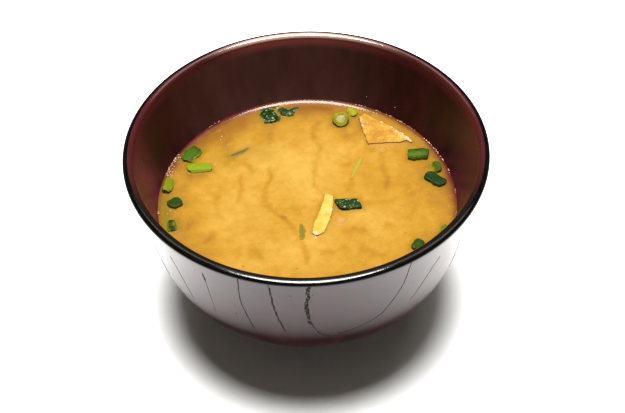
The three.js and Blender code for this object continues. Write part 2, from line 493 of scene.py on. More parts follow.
class Effects:
    """Shader groups that several finishes use, each built once."""

    @staticmethod
    def _start(
        name: str, inputs: dict[str, float], output: str
    ) -> tuple[bpy.types.NodeTree, Graph, Sequence[Socket], Socket]:
        """Starts a group that reads a place and some numbers.

        Args:
            name: the group's name.
            inputs: usual value of each number, by name.
            output: the name of the only output, a number.

        Returns:
            The tree, its graph, its inputs and the socket that ends it.
        """
        tree = bpy.data.node_groups.new(name, "ShaderNodeTree")
        tree.interface.new_socket("Place", in_out="INPUT", socket_type="NodeSocketVector")
        for label, usual in inputs.items():
            made = tree.interface.new_socket(label, in_out="INPUT", socket_type="NodeSocketFloat")
            made.default_value = usual
        tree.interface.new_socket(output, in_out="OUTPUT", socket_type="NodeSocketFloat")
        graph = Graph(tree)
        given = graph.add("NodeGroupInput").outputs[: len(inputs) + 1]
        return tree, graph, given, graph.add("NodeGroupOutput").inputs[0]

    @staticmethod
    @cache
    def mottling() -> bpy.types.NodeTree:
        """Soft patches; Size is their width, Sharpness how hard their edges are."""
        usual = {"Size": 1.0, "Sharpness": 1.0}
        tree, g, (place, size, sharpness), end = Effects._start("mottling", usual, "Mask")
        value = g.clouds(g.scaled(place, g.math("DIVIDE", 1.0, size)), 4.0, 0.55)
        strong = g.swing(value, g.times(sharpness, 2.0))
        g.feed(end, g.math("ADD", strong, 0.5, clamp=True))
        return tree

    @staticmethod
    @cache
    def streaks() -> bpy.types.NodeTree:
        """Fine stripes along X; Spacing is their distance, Length how far each runs."""
        usual = {"Spacing": 0.5, "Length": 6.0}
        tree, g, (place, spacing, length), end = Effects._start("streaks", usual, "Mask")
        parts = zip(g.split(place), (length, spacing, spacing))
        drawn_out = g.joined(*(g.math("DIVIDE", part, by) for part, by in parts))
        g.feed(end, g.remap(g.clouds(drawn_out, 2.0, 0.5), 0.3, 0.7))
        return tree

    @staticmethod
    @cache
    def pores() -> bpy.types.NodeTree:
        """Small round pits; Size is their distance, Depth how strongly they show."""
        usual = {"Size": 0.6, "Depth": 1.0}
        tree, g, (place, size, depth), end = Effects._start("pores", usual, "Height")
        scaled = g.scaled(place, g.math("DIVIDE", 1.0, size))
        cells = g.add("ShaderNodeTexVoronoi", {"Vector": scaled, "Scale": 1.0})
        pit = g.remap(cells.outputs["Distance"], 0.12, 0.5)
        g.feed(end, g.times(pit, depth))
        return tree


@dataclass(frozen=True)
class Finish:
    """What every finish shares.

    Attributes:
        name: the material's name.
        roughness: middle of the surface's roughness.
        ior: index of refraction, which sets how strongly it reflects.
        relief: depth of its unevenness in millimetres.
    """

    name: str
    roughness: float = 0.3
    ior: float = 1.45
    relief: float = 0.02

    def material(self) -> bpy.types.Material:
        """Builds a new material from the constants and from what paint() gives."""
        made = bpy.data.materials.new(self.name)
        made.use_nodes = True
        made.node_tree.nodes.clear()
        g = Graph(made.node_tree)
        given = {"Roughness": self.roughness, "IOR": self.ior, **self.paint(g)}
        surface = g.add("ShaderNodeBsdfPrincipled", given)
        g.add("ShaderNodeOutputMaterial", {"Surface": surface.outputs[0]})
        return made

    def paint(self, g: Graph) -> dict[str, Socket]:
        """What varies over the surface, by the name of the shader's input."""
        raise NotImplementedError


@dataclass(frozen=True)
class Lacquer(Finish):
    """Gloss lacquer with soft upright smears.

    Attributes:
        colour, shade: the middle colour and that of the darker patches.
        edge_colour: the colour of the thin lighter band along the top of the wall, painted light
            where the light catches it.
        edge_from, edge_width: height at which that line starts and in which it comes in.
        back_sheen, back_edge_glow: the colours of the painted sheen on the back and of the painted
            highlight on the band at the top there.
        warm: the colour of the lit parts at the left and, less, at the right.
        painted_light_strength: how much there is of the painted sheen and of the lit parts.
        front: painted shade, a darker colour at the front, if it is given.
        smears: width, hardness and upright stretch of the smears.
        fine: width and hardness of the finer unevenness.
        sheen_smear, warm_smear: how much of the painted sheen and the painted light the smears
            take away.
        gloss_range: how much the roughness varies.
        sheen_y, sheen_x: from where to where the painted sheen comes in, backwards and to the
            left.
        left_x, left_y: the same for the lit part at the left, outwards and to the front.
        right_x, right_y: the same for the one at the right.
        right_share: how strong that one is.
        edge_x: from where to where the painted highlight on the band at the back comes in.
        front_y: from where to where it turns into the painted shade of the front.
    """

    colour: Colour = (0.021, 0.0028, 0.0046)
    shade: Colour = (0.01, 0.0016, 0.0026)
    edge_colour: Colour = (0.055, 0.0055, 0.0095)
    edge_from: float = 999.0
    edge_width: float = 4.5
    back_sheen: Colour = (0.044, 0.018, 0.0155)
    back_edge_glow: Colour = (0.17, 0.036, 0.036)
    warm: Colour = (0.075, 0.009, 0.02)
    painted_light_strength: float = 0.0
    front: Optional[Colour] = None
    smears: Point3 = (6.0, 1.8, 0.3)
    fine: Point2 = (3.0, 1.0)
    sheen_smear: float = 0.3
    warm_smear: float = 0.4
    gloss_range: float = 0.1
    sheen_y: Point2 = (20.0, 48.0)
    sheen_x: Point2 = (38.0, 2.0)
    left_x: Point2 = (-38.0, -49.0)
    left_y: Point2 = (15.0, 0.0)
    right_x: Point2 = (40.0, 50.0)
    right_y: Point2 = (22.0, 4.0)
    right_share: float = 0.4
    edge_x: Point2 = (-34.0, -14.0)
    front_y: Point2 = (-6.0, -30.0)

    def paint(self, g: Graph) -> dict[str, Socket]:
        """Upright smears, a lighter band at the top that is painted light, and a nearly flat
        relief.
        """
        place = g.place()
        x, y, height = g.split(place)
        size, sharpness, stretch = self.smears
        smears = g.patches(g.joined(x, y, g.times(height, stretch)), size, sharpness)
        colour = g.blend(smears, self.shade, self.colour)
        edge: Any = self.edge_colour
        # painted light: a sheen on the back, lit parts at the sides and a highlight on the band
        # along the top at the back
        if self.painted_light_strength:
            behind = g.times(g.remap(y, *self.sheen_y), g.remap(x, *self.sheen_x))
            left = g.times(g.remap(x, *self.left_x), g.remap(y, *self.left_y))
            right = g.times(g.remap(x, *self.right_x), g.remap(y, *self.right_y))
            lit = g.math("MAXIMUM", left, g.times(right, self.right_share))
            for where, smear, tone in (
                (behind, self.sheen_smear, self.back_sheen), (lit, self.warm_smear, self.warm)
            ):
                veil = g.times(where, g.line(smears, smear, 1.0 - smear))
                colour = g.blend(g.times(veil, self.painted_light_strength), colour, tone)
            middle = g.times(behind, g.remap(x, *self.edge_x))
            edge = g.blend(middle, self.edge_colour, self.back_edge_glow)
        # painted light: the band along the top of the wall turns lighter where the light catches
        # it
        worn = g.remap(height, self.edge_from, self.edge_from + self.edge_width)
        colour = g.blend(worn, colour, edge)
        # painted shade at the front
        if self.front:
            colour = g.blend(g.remap(y, *self.front_y), colour, self.front)
        fine = g.patches(place, *self.fine)
        start = self.roughness - self.gloss_range / 2
        rough = g.line(g.mixed(fine, smears), self.gloss_range, start)
        return {"Base Color": colour, "Roughness": rough, "Normal": g.relief(fine, self.relief)}


@dataclass(frozen=True)
class Ink(Finish):
    """Matt drawn strokes, thick and thin.

    Attributes:
        colour: where the stroke is full.
        faded: where it is rubbed thin.
        fade: share of it that is rubbed thin.
        rubbed: width and hardness of the rubbed patches.
    """

    colour: Colour = (0.008, 0.006, 0.006)
    faded: Colour = (0.07, 0.06, 0.055)
    fade: float = 0.4
    rubbed: Point2 = (0.9, 2.6)

    def paint(self, g: Graph) -> dict[str, Socket]:
        """Rubbed patches along the strokes."""
        rubbed = g.patches(g.place(), *self.rubbed)
        worn = g.remap(rubbed, 0.85 - self.fade, 1.25 - self.fade)
        colour = g.blend(worn, self.colour, self.faded)
        return {"Base Color": colour, "Normal": g.relief(rubbed, self.relief)}


@dataclass(frozen=True)
class BrothFinish(Finish):
    """Cloudy golden broth: settled dark lines, bright clouds and a thin red edge.

    Attributes:
        deep, middle, bright: colours where the miso has settled, usually and where it rises.
        haze: colour over sunk greens.
        brown: colour in the shade of the tofu and in the bands at the back.
        edge: colour where the liquid thins out over the wall.
        soft, soft_strength: width and hardness of soft patches, and how much they show.
        grain, grain_strength: the same for the fine miso grain.
    """

    deep: Colour = (0.137, 0.064, 0.0085)
    middle: Colour = (0.2, 0.101, 0.0105)
    bright: Colour = (0.255, 0.15, 0.028)
    haze: Colour = (0.085, 0.06, 0.0045)
    brown: Colour = (0.1, 0.034, 0.0035)
    edge: Colour = (0.045, 0.004, 0.006)
    soft: Point2 = (2.6, 1.6)
    soft_strength: float = 0.17
    grain: Point2 = (0.55, 1.6)
    grain_strength: float = 0.11

    def paint(self, g: Graph) -> dict[str, Socket]:
        """Colours from the mesh's masks, broken up by fine miso grain."""
        place = g.place()
        grain = g.patches(place, *self.grain)
        soft = g.swing(g.patches(place, *self.soft), self.soft_strength)
        value = g.math("ADD", g.mask("cloud"), soft)
        value = g.math("ADD", value, g.swing(grain, self.grain_strength))
        colour = g.ramp(value, [(0.0, self.deep), (0.5, self.middle), (1.0, self.bright)])
        for mask, tone in (("brown", self.brown), ("haze", self.haze), ("thin", self.edge)):
            colour = g.blend(g.mask(mask), colour, tone)
        return {"Base Color": colour, "Normal": g.relief(grain, self.relief)}


@dataclass(frozen=True)
class TofuSkin(Finish):
    """Fried tofu, soaked: golden porous skin, paler where it is cut.

    Attributes:
        relief: depth of its unevenness in millimetres.
        colour, deep, pale: the skin, its darker patches and the painted shade in its pits, and its
            lighter parts.
        drowned: where the soup laps over it; lighter than the skin, the soup's tint together with
            painted light from the soup on the sides.
        froth: of the pale flecks, painted highlights on the wet skin.
        pit_size: distance between its pits.
        patches, fine, wet_glints: width and hardness of its patches, grain and painted highlight
            flecks.
    """

    relief: float = 0.06
    colour: Colour = (0.225, 0.112, 0.0085)
    deep: Colour = (0.185, 0.075, 0.004)
    pale: Colour = (0.255, 0.145, 0.02)
    drowned: Colour = (0.36, 0.175, 0.013)
    froth: Colour = (0.4, 0.36, 0.27)
    pit_size: float = 0.55
    patches: Point2 = (3.2, 1.8)
    fine: Point2 = (0.5, 1.8)
    wet_glints: Point2 = (0.7, 4.0)

    def paint(self, g: Graph) -> dict[str, Socket]:
        """Patches, pits with painted shade, the soup's tint with painted light, and painted
        highlight flecks.
        """
        place = g.place()
        pits = g.effect(Effects.pores(), place, self.pit_size, 1.0)
        fine = g.patches(place, *self.fine)
        tone = g.mixed(g.patches(place, *self.patches), fine, 0.6)
        colour = g.ramp(tone, [(0.15, self.deep), (0.5, self.colour), (0.85, self.pale)])
        # painted shade in the pits
        colour = g.blend(g.remap(pits, 0.4, 0.0), colour, self.deep)
        # the soup's tint together with painted light on the lapped sides
        colour = g.blend(g.mask("sunk"), colour, self.drowned)
        # painted highlight flecks on the wet skin
        wet_glints = g.times(g.mask("froth"), g.patches(place, *self.wet_glints))
        colour = g.blend(wet_glints, colour, self.froth)
        return {"Base Color": colour, "Normal": g.relief(g.mixed(pits, fine), self.relief)}


@dataclass(frozen=True)
class LeafSkin(Finish):
    """Cut scallion: fine stripes lengthways, one side and one end in other greens.

    Attributes:
        relief: depth of its fine creases.
        colour, stripe: the usual green and that of the fine stripes.
        side, side_range: the green on the far side, and from where to where it turns into it.
        end, end_range: the same for the far end.
        drowned: where the soup laps over it.
        rim: the colour that it fades to around a pale core.
        glints, glint_colour: how strongly painted highlights of small wet spots show on it, and
            their colour.
        wander, wander_reach: width and hardness of the patches by which the turns of colour
            wander, and how far they do.
        fine, spots: width and hardness of its grain and of the painted wet highlights.
        stripes: distance and length of the stripes.
    """

    relief: float = 0.06
    colour: Colour = (0.02, 0.09, 0.012)
    stripe: Colour = (0.05, 0.16, 0.02)
    side: Colour = (0.02, 0.09, 0.012)
    side_range: Point2 = (0.0, 2.0)
    end: Colour = (0.02, 0.09, 0.012)
    end_range: Point2 = (0.0, 3.0)
    drowned: Colour = (0.13, 0.11, 0.004)
    rim: Colour = (0.15, 0.14, 0.008)
    glints: float = 0.0
    glint_colour: Colour = (0.2, 0.24, 0.16)
    wander: Point2 = (1.6, 1.4)
    wander_reach: float = 1.2
    fine: Point2 = (0.45, 2.0)
    spots: Point2 = (0.95, 1.6)
    stripes: Point2 = (0.42, 7.0)

    def paint(self, g: Graph) -> dict[str, Socket]:
        """The turns of colour, the stripes and the creases."""
        place = g.place()
        x, y, _ = g.split(place)
        wander = g.swing(g.patches(place, *self.wander), self.wander_reach)
        aside = g.remap(g.math("ADD", y, wander), *self.side_range)
        along = g.remap(g.math("ADD", x, wander), *self.end_range)
        colour = g.blend(along, g.blend(aside, self.colour, self.side), self.end)
        lines = g.effect(Effects.streaks(), place, *self.stripes)
        fine = g.patches(place, *self.fine)
        colour = g.blend(g.times(lines, g.line(fine, 0.6, 0.1)), colour, self.stripe)
        colour = g.blend(g.mask("tint"), colour, self.rim)
        lapped = g.times(g.mask("sunk"), g.line(fine, 0.6, 0.7))
        colour = g.blend(g.math("MINIMUM", lapped, 1.0), colour, self.drowned)
        # painted highlights of small wet spots
        if self.glints:
            spots = g.remap(g.patches(place, *self.spots), 0.79, 0.9)
            colour = g.blend(g.times(spots, self.glints), colour, self.glint_colour)
        return {"Base Color": colour, "Normal": g.relief(g.mixed(lines, fine), self.relief)}


@dataclass(frozen=True)
class Film(Finish):
    """The skin of a bubble or a grain, or plain paint.

    Attributes:
        colour, shade: its colour and that of its darker patches.
        patches: width and hardness of those.
    """

    colour: Colour = (0.8, 0.6, 0.5)
    shade: Colour = (0.5, 0.3, 0.2)
    patches: Point2 = (0.5, 2.0)

    def paint(self, g: Graph) -> dict[str, Socket]:
        """Fine patches."""
        patches = g.patches(g.place(), *self.patches)
        colour = g.blend(patches, self.shade, self.colour)
        return {"Base Color": colour, "Normal": g.relief(patches, self.relief)}


# ---------- the bowl


@dataclass(frozen=True)
class BowlForm:
    """The turned form, as in the CAD model.

    Attributes:
        height: of the whole bowl.
        rim_radius: at the lip's widest.
        lip_width: the wall's thickness where it is rounded over at the top.
        lip_rise: height of that rounding above the lip's middle.
        lip_turn: how far the rounding turns down on either side, in degrees.
        outer_curve: handles and end of the outer wall's curve.
        inner_curve: handles and end of the inner wall's curve.
        foot_radius: of the body at the foot ring.
        foot_height: of the foot ring.
        foot_flare: how much wider the ring stands.
        foot_width: of the standing face.
        foot_edge: bevel of the ring.
        recess_depth: of the hollow under the bowl.
        recess_fillet: of its inner corner.
        body_thickness: of the floor.
    """

    height: float = 63.2
    rim_radius: float = 57.5
    lip_width: float = 3.3
    lip_rise: float = 1.1
    lip_turn: float = 100.0
    outer_curve: tuple[Point2, ...] = ((51.65, 12.65), (50.03, 32.22), (57.46, 61.8))
    inner_curve: tuple[Point2, ...] = ((50.0, 14.5), (48.84, 40.34), (54.16, 61.55))
    foot_radius: float = 28.5
    foot_height: float = 10.6
    foot_flare: float = 0.6
    foot_width: float = 2.8
    foot_edge: float = 0.5
    recess_depth: float = 7.5
    recess_fillet: float = 3.0
    body_thickness: float = 3.6

    @property
    def lip_centre(self) -> Point2:
        """Radius and height of the middle of the lip's rounding."""
        return self.rim_radius - self.lip_width / 2, self.height - self.lip_rise

    def outer(self, steps: int) -> np.ndarray:
        """The outer wall from the foot to the lip."""
        return bezier([(self.foot_radius, self.foot_height), *self.outer_curve], steps)

    def inner(self, steps: int) -> np.ndarray:
        """The inner wall from the middle of the floor to the lip."""
        return bezier([(0.0, self.foot_height + self.body_thickness), *self.inner_curve], steps)

    def lip(self, steps: int) -> list[Point2]:
        """The rounded lip from outside over its ridge to the inside."""
        radius, height = self.lip_centre
        turns = np.radians(np.linspace(self.lip_turn, -self.lip_turn, steps + 1))
        return [
            (radius + self.lip_width / 2 * math.sin(t), height + self.lip_rise * math.cos(t))
            for t in turns
        ]

    def inner_radius(self, height: float) -> float:
        """The inner wall's radius at a height."""
        wall = self.inner(400)
        return float(np.interp(height, wall[:, 1], wall[:, 0]))


class BowlPart(Enum):
    """Faces of the bowl that have their own finish."""

    LIP = 0
    INSIDE = 1
    OUTSIDE = 2
    LIP_INSIDE = 3


@dataclass
class Bowl:
    """The lacquered bowl.

    Attributes:
        form: its sizes.
        segments: steps of the full turn.
        wall_steps: steps of each wall's curve.
        lip_steps: steps of the rounded lip.
        black_from: radius from which outwards the lip is black.
        finishes: the lacquers, in the order of BowlPart.
    """

    form: BowlForm
    segments: int = 192
    wall_steps: int = 44
    lip_steps: int = 60
    black_from: float = 55.8
    finishes: tuple[Lacquer, ...] = (
        Lacquer(
            "lip_lacquer", roughness=0.11, ior=1.36, colour=(0.0014, 0.0012, 0.0008),
            shade=(0.0008, 0.0007, 0.0005),
        ),
        # painted light on the inner wall: a sheen on the back, lit sides and a lighter band near
        # the top
        Lacquer("inner_lacquer", roughness=0.34, ior=1.2, edge_from=58.0, painted_light_strength=1.0),
        Lacquer(
            "outer_lacquer", roughness=0.11, ior=1.335, colour=(0.02, 0.0042, 0.0058),
            shade=(0.011, 0.003, 0.0036), relief=0.006,
        ),
        # painted shade at the front of the lip's inside and a painted highlight at its back
        Lacquer(
            "lip_inside_lacquer", roughness=0.14, ior=1.5, colour=(0.021, 0.0045, 0.0036),
            shade=(0.014, 0.0034, 0.0024), edge_from=58.6, edge_colour=(0.03, 0.0045, 0.0055),
            back_sheen=(0.03, 0.009, 0.008), back_edge_glow=(0.24, 0.14, 0.115), warm=(0.03, 0.0045, 0.006),
            front=(0.0045, 0.0022, 0.0012), painted_light_strength=1.0,
        ),
    )

    def outline(self) -> tuple[np.ndarray, list[int]]:
        """The closed outline and the finish of each stretch.

        Returns:
            Radius and height of each point, and a BowlPart number for each stretch.
        """
        f = self.form
        outer = f.foot_radius + f.foot_flare
        inner = outer - f.foot_width - 2 * f.foot_edge
        fillet = f.recess_fillet
        corner = [
            (inner - fillet * (1 - t) ** 2, f.recess_depth - fillet * t**2)
            for t in np.linspace(0.2, 1.0, 5)
        ]
        under = [(0.0, f.recess_depth), (inner * 0.5, f.recess_depth)]
        under += [(inner - fillet, f.recess_depth), *corner]
        ring: list[Point2] = []
        for centre, start in ((inner + f.foot_edge, 180.0), (outer - f.foot_edge, 270.0)):
            for angle in np.radians(start + 22.5 * np.arange(5)):
                rise = f.foot_edge + f.foot_edge * math.sin(angle)
                ring.append((centre + f.foot_edge * math.cos(angle), rise))
        lip = f.lip(self.lip_steps)
        outer_wall, inner_wall = f.outer(self.wall_steps), f.inner(self.wall_steps)[::-1]
        points = [*under, *ring, *outer_wall, *lip, *inner_wall]
        black = sum(radius > self.black_from for radius, _ in lip)
        slots = [BowlPart.OUTSIDE.value] * (len(under) + len(ring) + len(outer_wall) - 1)
        slots += [BowlPart.LIP.value] * black
        slots += [BowlPart.LIP_INSIDE.value] * (len(lip) - black)
        slots += [BowlPart.INSIDE.value] * (len(points) - 1 - len(slots))
        return np.array(points), slots

    def build(self) -> bpy.types.Object:
        """Makes the bowl."""
        outline, slots = self.outline()
        shell = lathe(outline, self.segments, slots)
        piece = shell.to_object("lacquer_bowl", self.finishes, crease_deg=60)
        return declare(piece, "lacquer", "bowl")


class Tone(Enum):
    """How dark a drawn stroke is."""

    FULL = 0
    FAINT = 1


@dataclass(frozen=True)
class Stroke:
    """One drawn stroke on the outside.

    Attributes:
        path: angle from the front in degrees, towards +X, and height of each corner.
        width: of the stroke.
        rough: how uneven its edges are, 0 to 1 or a little more.
        tone: how dark it is.
    """

    path: Path2
    width: float
    rough: float = 0.3
    tone: Tone = Tone.FULL


@dataclass
class DrawnLines:
    """Thin dark strokes that run down the outside, a little raised.

    Attributes:
        form: the bowl that they are drawn on.
        proud: how far they stand off the lacquer.
        sunk: how far their sides reach into it.
        bevel: how far in from a stroke's side its top begins.
        step: distance between their cross sections.
        degree: usual length of one degree on the wall.
        taper: length over which a stroke's ends thin out.
        hidden_above: a stroke that starts above this height starts under the lip.
        others: how many strokes the sides and the back have.
        others_from, others_step: direction of the first of them and the angle between them.
        front: the strokes at the front.
    """

    form: BowlForm
    proud: float = 0.07
    sunk: float = 0.05
    bevel: float = 0.05
    step: float = 0.4
    degree: float = 0.9
    taper: float = 1.2
    hidden_above: float = 60.5
    others: int = 22
    others_from: float = 58.0
    others_step: float = 11.4
    front: tuple[Stroke, ...] = (
        Stroke([(-47.8, 54.6), (-45.7, 41.9), (-44.6, 34.2)], 0.35, tone=Tone.FAINT),
        Stroke([(-33.6, 57.6), (-33.7, 52.3)], 0.6, 0.8),
        Stroke([(-33.7, 52.3), (-34.0, 40.0), (-34.6, 33.0)], 0.32, tone=Tone.FAINT),
        Stroke([(-20.9, 62.2), (-22.1, 49.2), (-20.6, 37.4), (-19.5, 32.4)], 0.4),
        Stroke([(-11.8, 62.2), (-11.4, 50.1), (-10.3, 41.7), (-8.6, 34.0)], 0.6, 0.8),
        Stroke([(-0.1, 62.2), (-1.0, 49.5), (-0.6, 41.4), (0.5, 38.5)], 1.15, 1.0),
        Stroke([(0.5, 38.5), (3.2, 32.8), (6.8, 30.0), (12.1, 29.8)], 0.4, 0.9),
        Stroke(
            [(30.9, 62.2), (30.3, 51.0), (27.1, 42.0), (23.4, 36.4), (17.2, 33.2), (9.2, 31.0)],
            0.3,
        ),
        Stroke([(-24.9, 44.6), (-24.7, 43.8)], 0.4, 1.0),
        Stroke([(-25.3, 39.6), (-25.1, 38.9)], 0.45, 1.0),
        Stroke([(-6.3, 56.6), (-5.6, 56.2)], 0.4, 1.0, Tone.FAINT),
        Stroke([(0.9, 57.5), (0.7, 56.6)], 0.5, 1.2),
        Stroke([(0.3, 53.9), (0.5, 53.0)], 0.45, 1.2),
        Stroke([(44.8, 53.3), (42.8, 50.0), (38.3, 40.6), (35.9, 37.1)], 0.3, tone=Tone.FAINT),
    )

    def around(self) -> list[Stroke]:
        """Strokes of the same hand on the sides and the back."""
        made: list[Stroke] = []
        for count in range(self.others):
            start = self.others_from + self.others_step * count + 2.0 * math.sin(2.4 * count)
            lean = 2.5 * math.sin(0.9 * count + 1.0)
            high = 59.0 if count % 3 == 1 else 62.0
            low = 31.0 + 3.5 * math.sin(1.9 * count)
            turns = zip((0.0, 0.4, 0.9, 1.6), (high, 50.0, 41.0, low))
            path = [(start + share * lean, height) for share, height in turns]
            bold = count % 4 == 2
            width = 0.9 if bold else 0.42 + 0.14 * math.sin(3.1 * count)
            tone = Tone.FAINT if count % 3 == 0 else Tone.FULL
            made.append(Stroke(path, width, 0.9 if bold else 0.4, tone))
        return made

    def ribbon(self, stroke: Stroke, seed: float) -> Shell:
        """One stroke as a thin closed ribbon on the wall.

        Args:
            stroke: its course.
            seed: of the unevenness.

        Returns:
            The shell, with the tone's finish.
        """
        wall = self.form.outer(400)
        slopes = np.gradient(wall, axis=0)
        slopes /= np.linalg.norm(slopes, axis=1)[:, None]
        evened = np.array([self.degree, 1.0])
        course = smooth_path(np.array(stroke.path, float) * evened, self.step) / evened
        run = np.arange(len(course))[:, None] * np.array([[self.step, 0.0, 0.0]])
        sway = fractal(run, 2.2, seed) * 0.25 * stroke.rough
        left, right = (fractal(run, 1.1, seed + shift) for shift in (7.0, 13.0))
        start = 0.15 if stroke.path[0][1] < self.hidden_above else 0.8
        taper = np.minimum(run[:, 0] / self.taper + start, run[::-1, 0] / self.taper + 0.15)
        half = 0.5 * stroke.width * np.minimum(1.0, taper)
        near = sway - half * (1.0 + 0.7 * stroke.rough * left)
        far = sway + half * (1.0 + 0.7 * stroke.rough * right)
        loops = []
        for (angle, height), a, b in zip(course, near, far):
            radius, along, up = (
                np.interp(height, wall[:, 1], column)
                for column in (wall[:, 0], slopes[:, 0], slopes[:, 1])
            )
            section = (
                (a, -self.sunk),
                (b, -self.sunk),
                (b - self.bevel, self.proud * 0.7),
                (0.5 * (a + b), self.proud),
                (a + self.bevel, self.proud * 0.7),
            )
            loops.append(
                [
                    on_circle(
                        radius + up * rise,
                        math.radians(angle) + offset / radius - math.pi / 2,
                        height - along * rise,
                    )
                    for offset, rise in section
                ]
            )
        shell = loft(np.array(loops), ringed=True)
        sides, last = len(section), len(shell.points)
        caps = [tuple(reversed(range(sides))), tuple(range(last - sides, last))]
        return Shell(shell.points, [*shell.faces[:-sides], *caps]).dressed(stroke.tone.value)

    def build(self) -> bpy.types.Object:
        """Makes all strokes as one piece."""
        strokes = [*self.front, *self.around()]
        joined = Shell.joined([self.ribbon(s, 3.7 * i) for i, s in enumerate(strokes)])
        finishes = (
            Ink("drawn_lines", roughness=0.9, ior=1.2, fade=0.24),
            Ink("faint_lines", roughness=0.6, ior=1.35, fade=0.5),
        )
        return declare(joined.to_object("drawn_lines", finishes), "lacquer")


# ---------- the broth


@dataclass(frozen=True)
class Band:
    """A line or spot in the broth whose edges die off softly.

    Attributes:
        path: its course from above.
        width: how far it spreads to each side.
        strength: how strongly it shows; a vein of less than 0 is brighter, not darker.
    """

    path: Path2
    width: float
    strength: float

    def at(self, places: np.ndarray) -> np.ndarray:
        """How strongly it shows at each place seen from above."""
        return self.strength * falloff(distance_to_path(places, self.path), self.width)


def bands(*rows: tuple[Path2, float, float]) -> tuple[Band, ...]:
    """Bands from rows of course, width and strength."""
    return tuple(Band(*row) for row in rows)


